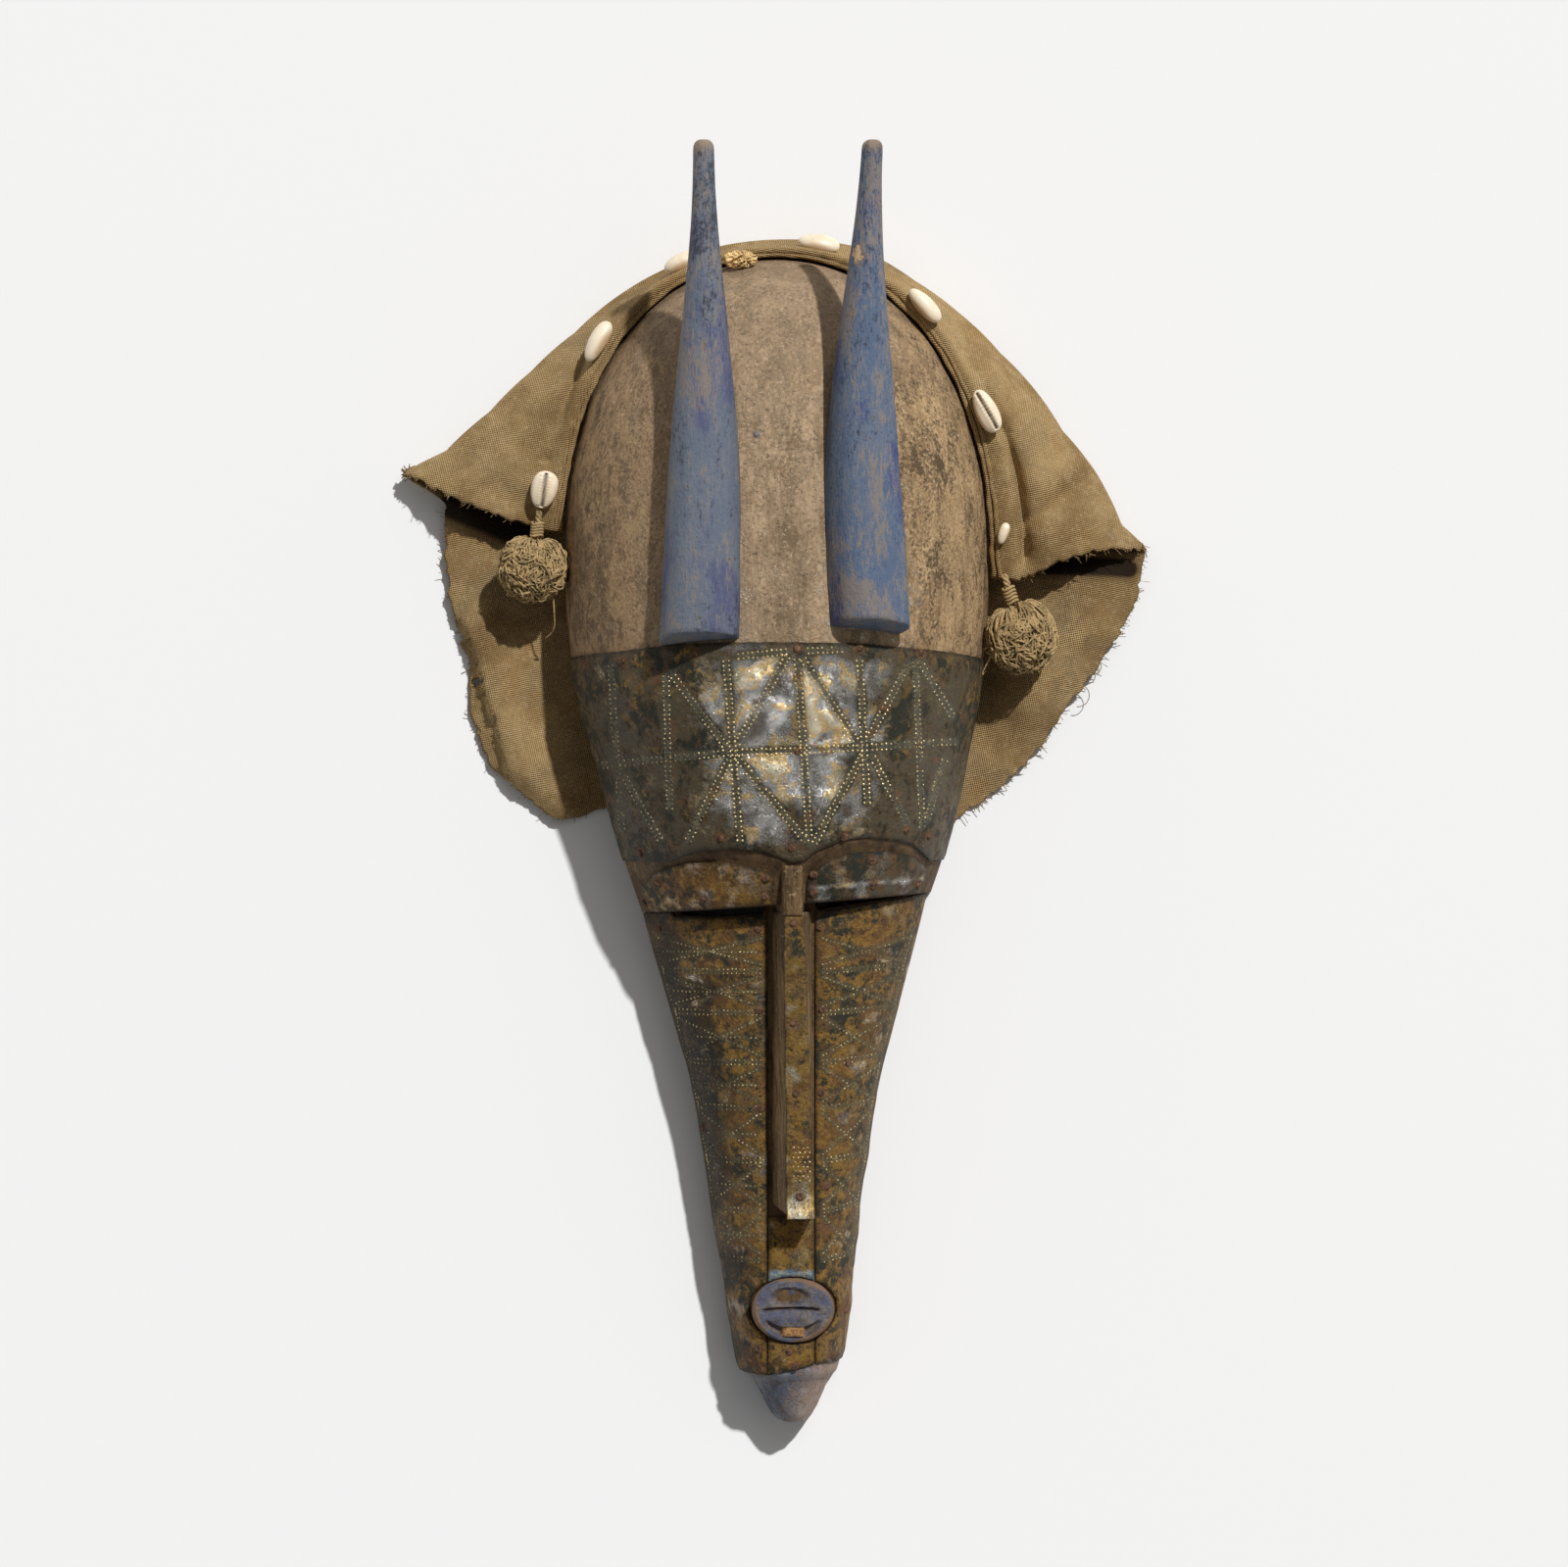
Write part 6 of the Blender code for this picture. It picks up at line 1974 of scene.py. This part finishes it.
class MASK_OT_sew_shells(bpy.types.Operator):
    """Sew the shells on the hem"""

    bl_idname = "mask.sew_shells"
    bl_label = "Sew on the shells"

    def execute(self, context):
        small = context.scene.mask_small
        glaze = cowrie_glaze("cowrie_glaze", small)
        context.view_layer.update()
        tree = BVHTree.FromObject(bpy.data.objects["hood_cloth"], context.evaluated_depsgraph_get())
        for number, (x, y, bearing, length, width, height, mouth_up) in enumerate(COWRIES, start=1):
            width *= 0.92 if number == 1 else 0.80
            node = f"cowrie_{number}"
            low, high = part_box(node)
            seat, normal, _, _ = tree.ray_cast(Vector((x, y, 0.2)), Vector((0.0, 0.0, -1.0)))
            if normal.z < 0.0:
                normal = -normal
            normal = (normal + Vector((0.0, 0.0, 0.8))).normalized()
            long_axis = Vector((math.cos(math.radians(bearing)), math.sin(math.radians(bearing)), 0.0))
            across = normal.cross(long_axis).normalized()
            along = across.cross(normal).normalized()
            turn = Matrix((along, across, normal)).transposed()
            points, faces, marks = cowrie(length, width, height, mouth_up, number)
            seat = Vector((seat.x, seat.y, min(seat.z + 0.0006, high.z - height * 0.7)))
            placed = [seat + turn @ point for point in points]
            add_piece(f"shell_{number}", placed, faces, glaze, "shell", marks, [node])
        return {"FINISHED"}


def pompom_strands(centre, radii, neck, small, seed):
    """Strands of yarn that fall from a knot round a ball of loops."""
    chance = random.Random(seed)
    strands = []
    toward = (neck - centre).normalized()
    side = toward.cross(Vector((0.0, 0.0, 1.0))).normalized()
    front = side.cross(toward)

    def on_ball(polar, around, depth):
        way = toward * math.cos(polar) + (side * math.cos(around) + front * math.sin(around)) * math.sin(polar)
        return centre + Vector((way.x * radii.x, way.y * radii.y, way.z * radii.z)) * depth

    for _ in range(small.loops * 2 // 5):
        around = chance.uniform(0.0, 2.0 * math.pi)
        end = chance.uniform(0.45, 0.92) * math.pi
        drift = chance.uniform(-0.9, 0.9)
        depth = chance.uniform(0.84, 0.97)
        line = []
        for step in range(13):
            share = step / 12
            wave = 0.16 * math.sin(share * chance.uniform(5.0, 9.0) + around)
            out = between(0.72, depth, ease(share * 3.0))
            line.append(on_ball(between(0.12, end, share), around + (drift + wave) * share, out))
        curl = on_ball(end * 0.96, around + drift + chance.uniform(-0.5, 0.5), depth * 0.82)
        line.append(curl)
        strands.append((line, small.strand * chance.uniform(0.85, 1.15), 5))
    for _ in range(small.loops):
        polar = math.acos(chance.uniform(-1.0, 0.55))
        around = chance.uniform(0.0, 2.0 * math.pi)
        middle = on_ball(polar, around, 1.0)
        out = (middle - centre).normalized()
        one = out.orthogonal().normalized()
        one = Matrix.Rotation(chance.uniform(0.0, 2.0 * math.pi), 3, out) @ one
        two = out.cross(one)
        wide = radii.x * chance.uniform(0.10, 0.24)
        tall = wide * chance.uniform(0.8, 2.0)
        depth = chance.uniform(0.80, 0.96)
        lean = chance.uniform(-0.6, 0.6)
        line = []
        for step in range(11):
            angle = 2.0 * math.pi * step / 11 * chance.uniform(0.97, 1.03)
            lift = out * (wide * 0.35 * math.sin(angle * 2.0 + lean) - radii.x * 0.03)
            loop = one * wide * math.cos(angle) + two * tall * math.sin(angle)
            line.append(centre + (middle - centre) * depth + loop + lift)
        strands.append((line, small.strand * chance.uniform(0.85, 1.15), 5))
    top = centre + Vector((toward.x * radii.x, toward.y * radii.y, toward.z * radii.z)) * 0.80
    for turn in range(5):
        middle = top.lerp(neck, 0.10 + turn * 0.11)
        line = []
        for step in range(15):
            angle = 2.0 * math.pi * step / 14
            loop = side * 0.0026 * math.cos(angle) + front * 0.0026 * math.sin(angle)
            line.append(middle + loop + toward * 0.0005 * math.sin(angle * 2.0))
        strands.append((line, small.strand * 1.5, 6))
    for cord in range(3):
        line = []
        for step in range(17):
            share = step / 16
            angle = share * 12.0 + cord * 2.1
            line.append(top.lerp(neck, share) + (side * math.cos(angle) + front * math.sin(angle)) * 0.0009)
        strands.append((line, small.strand * 1.7, 6))
    return strands


class MASK_OT_tie_yarn(bpy.types.Operator):
    """Tie the yarn pompoms and the tuft"""

    bl_idname = "mask.tie_yarn"
    bl_label = "Tie the pompoms"

    def execute(self, context):
        small = context.scene.mask_small
        fibre = yarn_fibre("yarn_fibre", small)
        for seed, (name, (centre, radii, neck)) in enumerate(POMPOMS.items(), start=3):
            strands = pompom_strands(Vector(centre), Vector(radii), Vector(neck), small, seed)
            end = [Vector(spot) for spot in smooth_row(LOOSE_ENDS[name], 5)]
            strands.append((end, small.strand * 0.9, 5))
            gather(name + "_yarn", strands, fibre, "yarn", [name])
        low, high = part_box("top_tuft")
        chance = random.Random(17)
        middle = (low + high) / 2.0
        half = (high - low) / 2.0
        strands = []
        for _ in range(110):
            way = Vector((chance.uniform(-1, 1), chance.uniform(-0.8, 0.9), chance.uniform(-0.4, 0.9)))
            side = way.orthogonal().normalized()
            line = []
            for step in range(10):
                angle = math.pi * step / 9
                local = way.normalized() * math.sin(angle) * 0.92 + side * 0.22 * math.cos(angle)
                line.append(middle + Vector((local.x * half.x, local.y * half.y, local.z * half.z)))
            strands.append((line, small.strand * 0.9, 5))
        gather("tuft_yarn", strands, yarn_fibre("pale_fibre", small, 2.20), "yarn", ["top_tuft"])
        return {"FINISHED"}


def add_light(name, kind, place, energy, **settings):
    data = bpy.data.lights.new(name, kind)
    data.energy = energy
    for key, value in settings.items():
        setattr(data, key, value)
    light = bpy.data.objects.new(name, data)
    light.location = place
    light.rotation_euler = Vector(place).to_track_quat("Z", "Y").to_euler()
    bpy.context.scene.collection.objects.link(light)
    return light


class MASK_OT_set_stage(bpy.types.Operator):
    """Set the floor, the lights and the camera"""

    bl_idname = "mask.set_stage"
    bl_label = "Set the stage"

    def execute(self, context):
        stage = context.scene.mask_stage
        shape = bmesh.new()
        bmesh.ops.create_grid(shape, x_segments=2, y_segments=2, size=3.0)
        mesh = bpy.data.meshes.new("floor")
        shape.to_mesh(mesh)
        shape.free()
        floor = bpy.data.objects.new("floor", mesh)
        context.scene.collection.objects.link(floor)
        paper = Recipe("paper_floor")
        grain = paper.cloud(260.0, 3.0, 0.6)
        tone = paper.mix(paper.step(grain, 0.3, 0.7, 0.0, 0.04), stage.floor[:], (0.80, 0.80, 0.80))
        mesh.materials.append(paper.finish(tone, 0.9, 0.0, None, Specular_IOR_Level=0.0))
        add_light("key", "SUN", KEY_PLACE, stage.key, angle=stage.key_size)
        square = {"shape": "RECTANGLE", "size": SOFT_SIZE, "size_y": SOFT_SIZE}
        add_light("soft_high", "AREA", SOFT_PLACE, stage.fill, **square)
        world = bpy.data.worlds.new("studio")
        world.use_nodes = True
        world.node_tree.nodes["Background"].inputs["Color"].default_value = (1.0, 0.99, 0.975, 1.0)
        world.node_tree.nodes["Background"].inputs["Strength"].default_value = stage.sky
        context.scene.world = world
        camera_data = bpy.data.cameras.new("camera")
        camera_data.sensor_width = SENSOR
        camera_data.lens = LENS
        camera_data.clip_end = 20.0
        camera = bpy.data.objects.new("camera", camera_data)
        camera.location = (*CAMERA_PLACE, stage.camera_height)
        context.scene.collection.objects.link(camera)
        context.scene.camera = camera
        context.scene.view_settings.view_transform = "Standard"
        return {"FINISHED"}


class MASK_PT_panel(bpy.types.Panel):
    """The mask's settings and steps"""

    bl_idname = "MASK_PT_panel"
    bl_label = "Horned mask"
    bl_space_type = "VIEW_3D"
    bl_region_type = "UI"
    bl_category = "Mask"

    def draw(self, context):
        for name, group in SETTINGS.items():
            box = self.layout.box()
            settings = getattr(context.scene, name)
            for setting in group.__annotations__:
                box.prop(settings, setting)
        for step in STEPS:
            self.layout.operator(step.bl_idname)


SETTINGS = {
    "mask_wood": WoodSettings,
    "mask_brass": BrassSettings,
    "mask_cloth": ClothSettings,
    "mask_small": SmallPartSettings,
    "mask_stage": StageSettings,
}
STEPS = (
    MASK_OT_set_stage,
    MASK_OT_carve_head,
    MASK_OT_carve_horns,
    MASK_OT_carve_nose,
    MASK_OT_fit_plates,
    MASK_OT_punch_dots,
    MASK_OT_drive_nails,
    MASK_OT_drape_cloth,
    MASK_OT_sew_shells,
    MASK_OT_tie_yarn,
)


def register():
    for group in (*SETTINGS.values(), *STEPS, MASK_PT_panel):
        bpy.utils.register_class(group)
    for name, group in SETTINGS.items():
        setattr(bpy.types.Scene, name, PointerProperty(type=group))


def unregister():
    for name in SETTINGS:
        delattr(bpy.types.Scene, name)
    for group in reversed((*SETTINGS.values(), *STEPS, MASK_PT_panel)):
        bpy.utils.unregister_class(group)


def main():
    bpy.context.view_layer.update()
    register()
    for step in STEPS:
        area, action = step.bl_idname.split(".")
        getattr(getattr(bpy.ops, area), action)()
    bpy.context.view_layer.update()


if __name__ == "__main__":
    main()
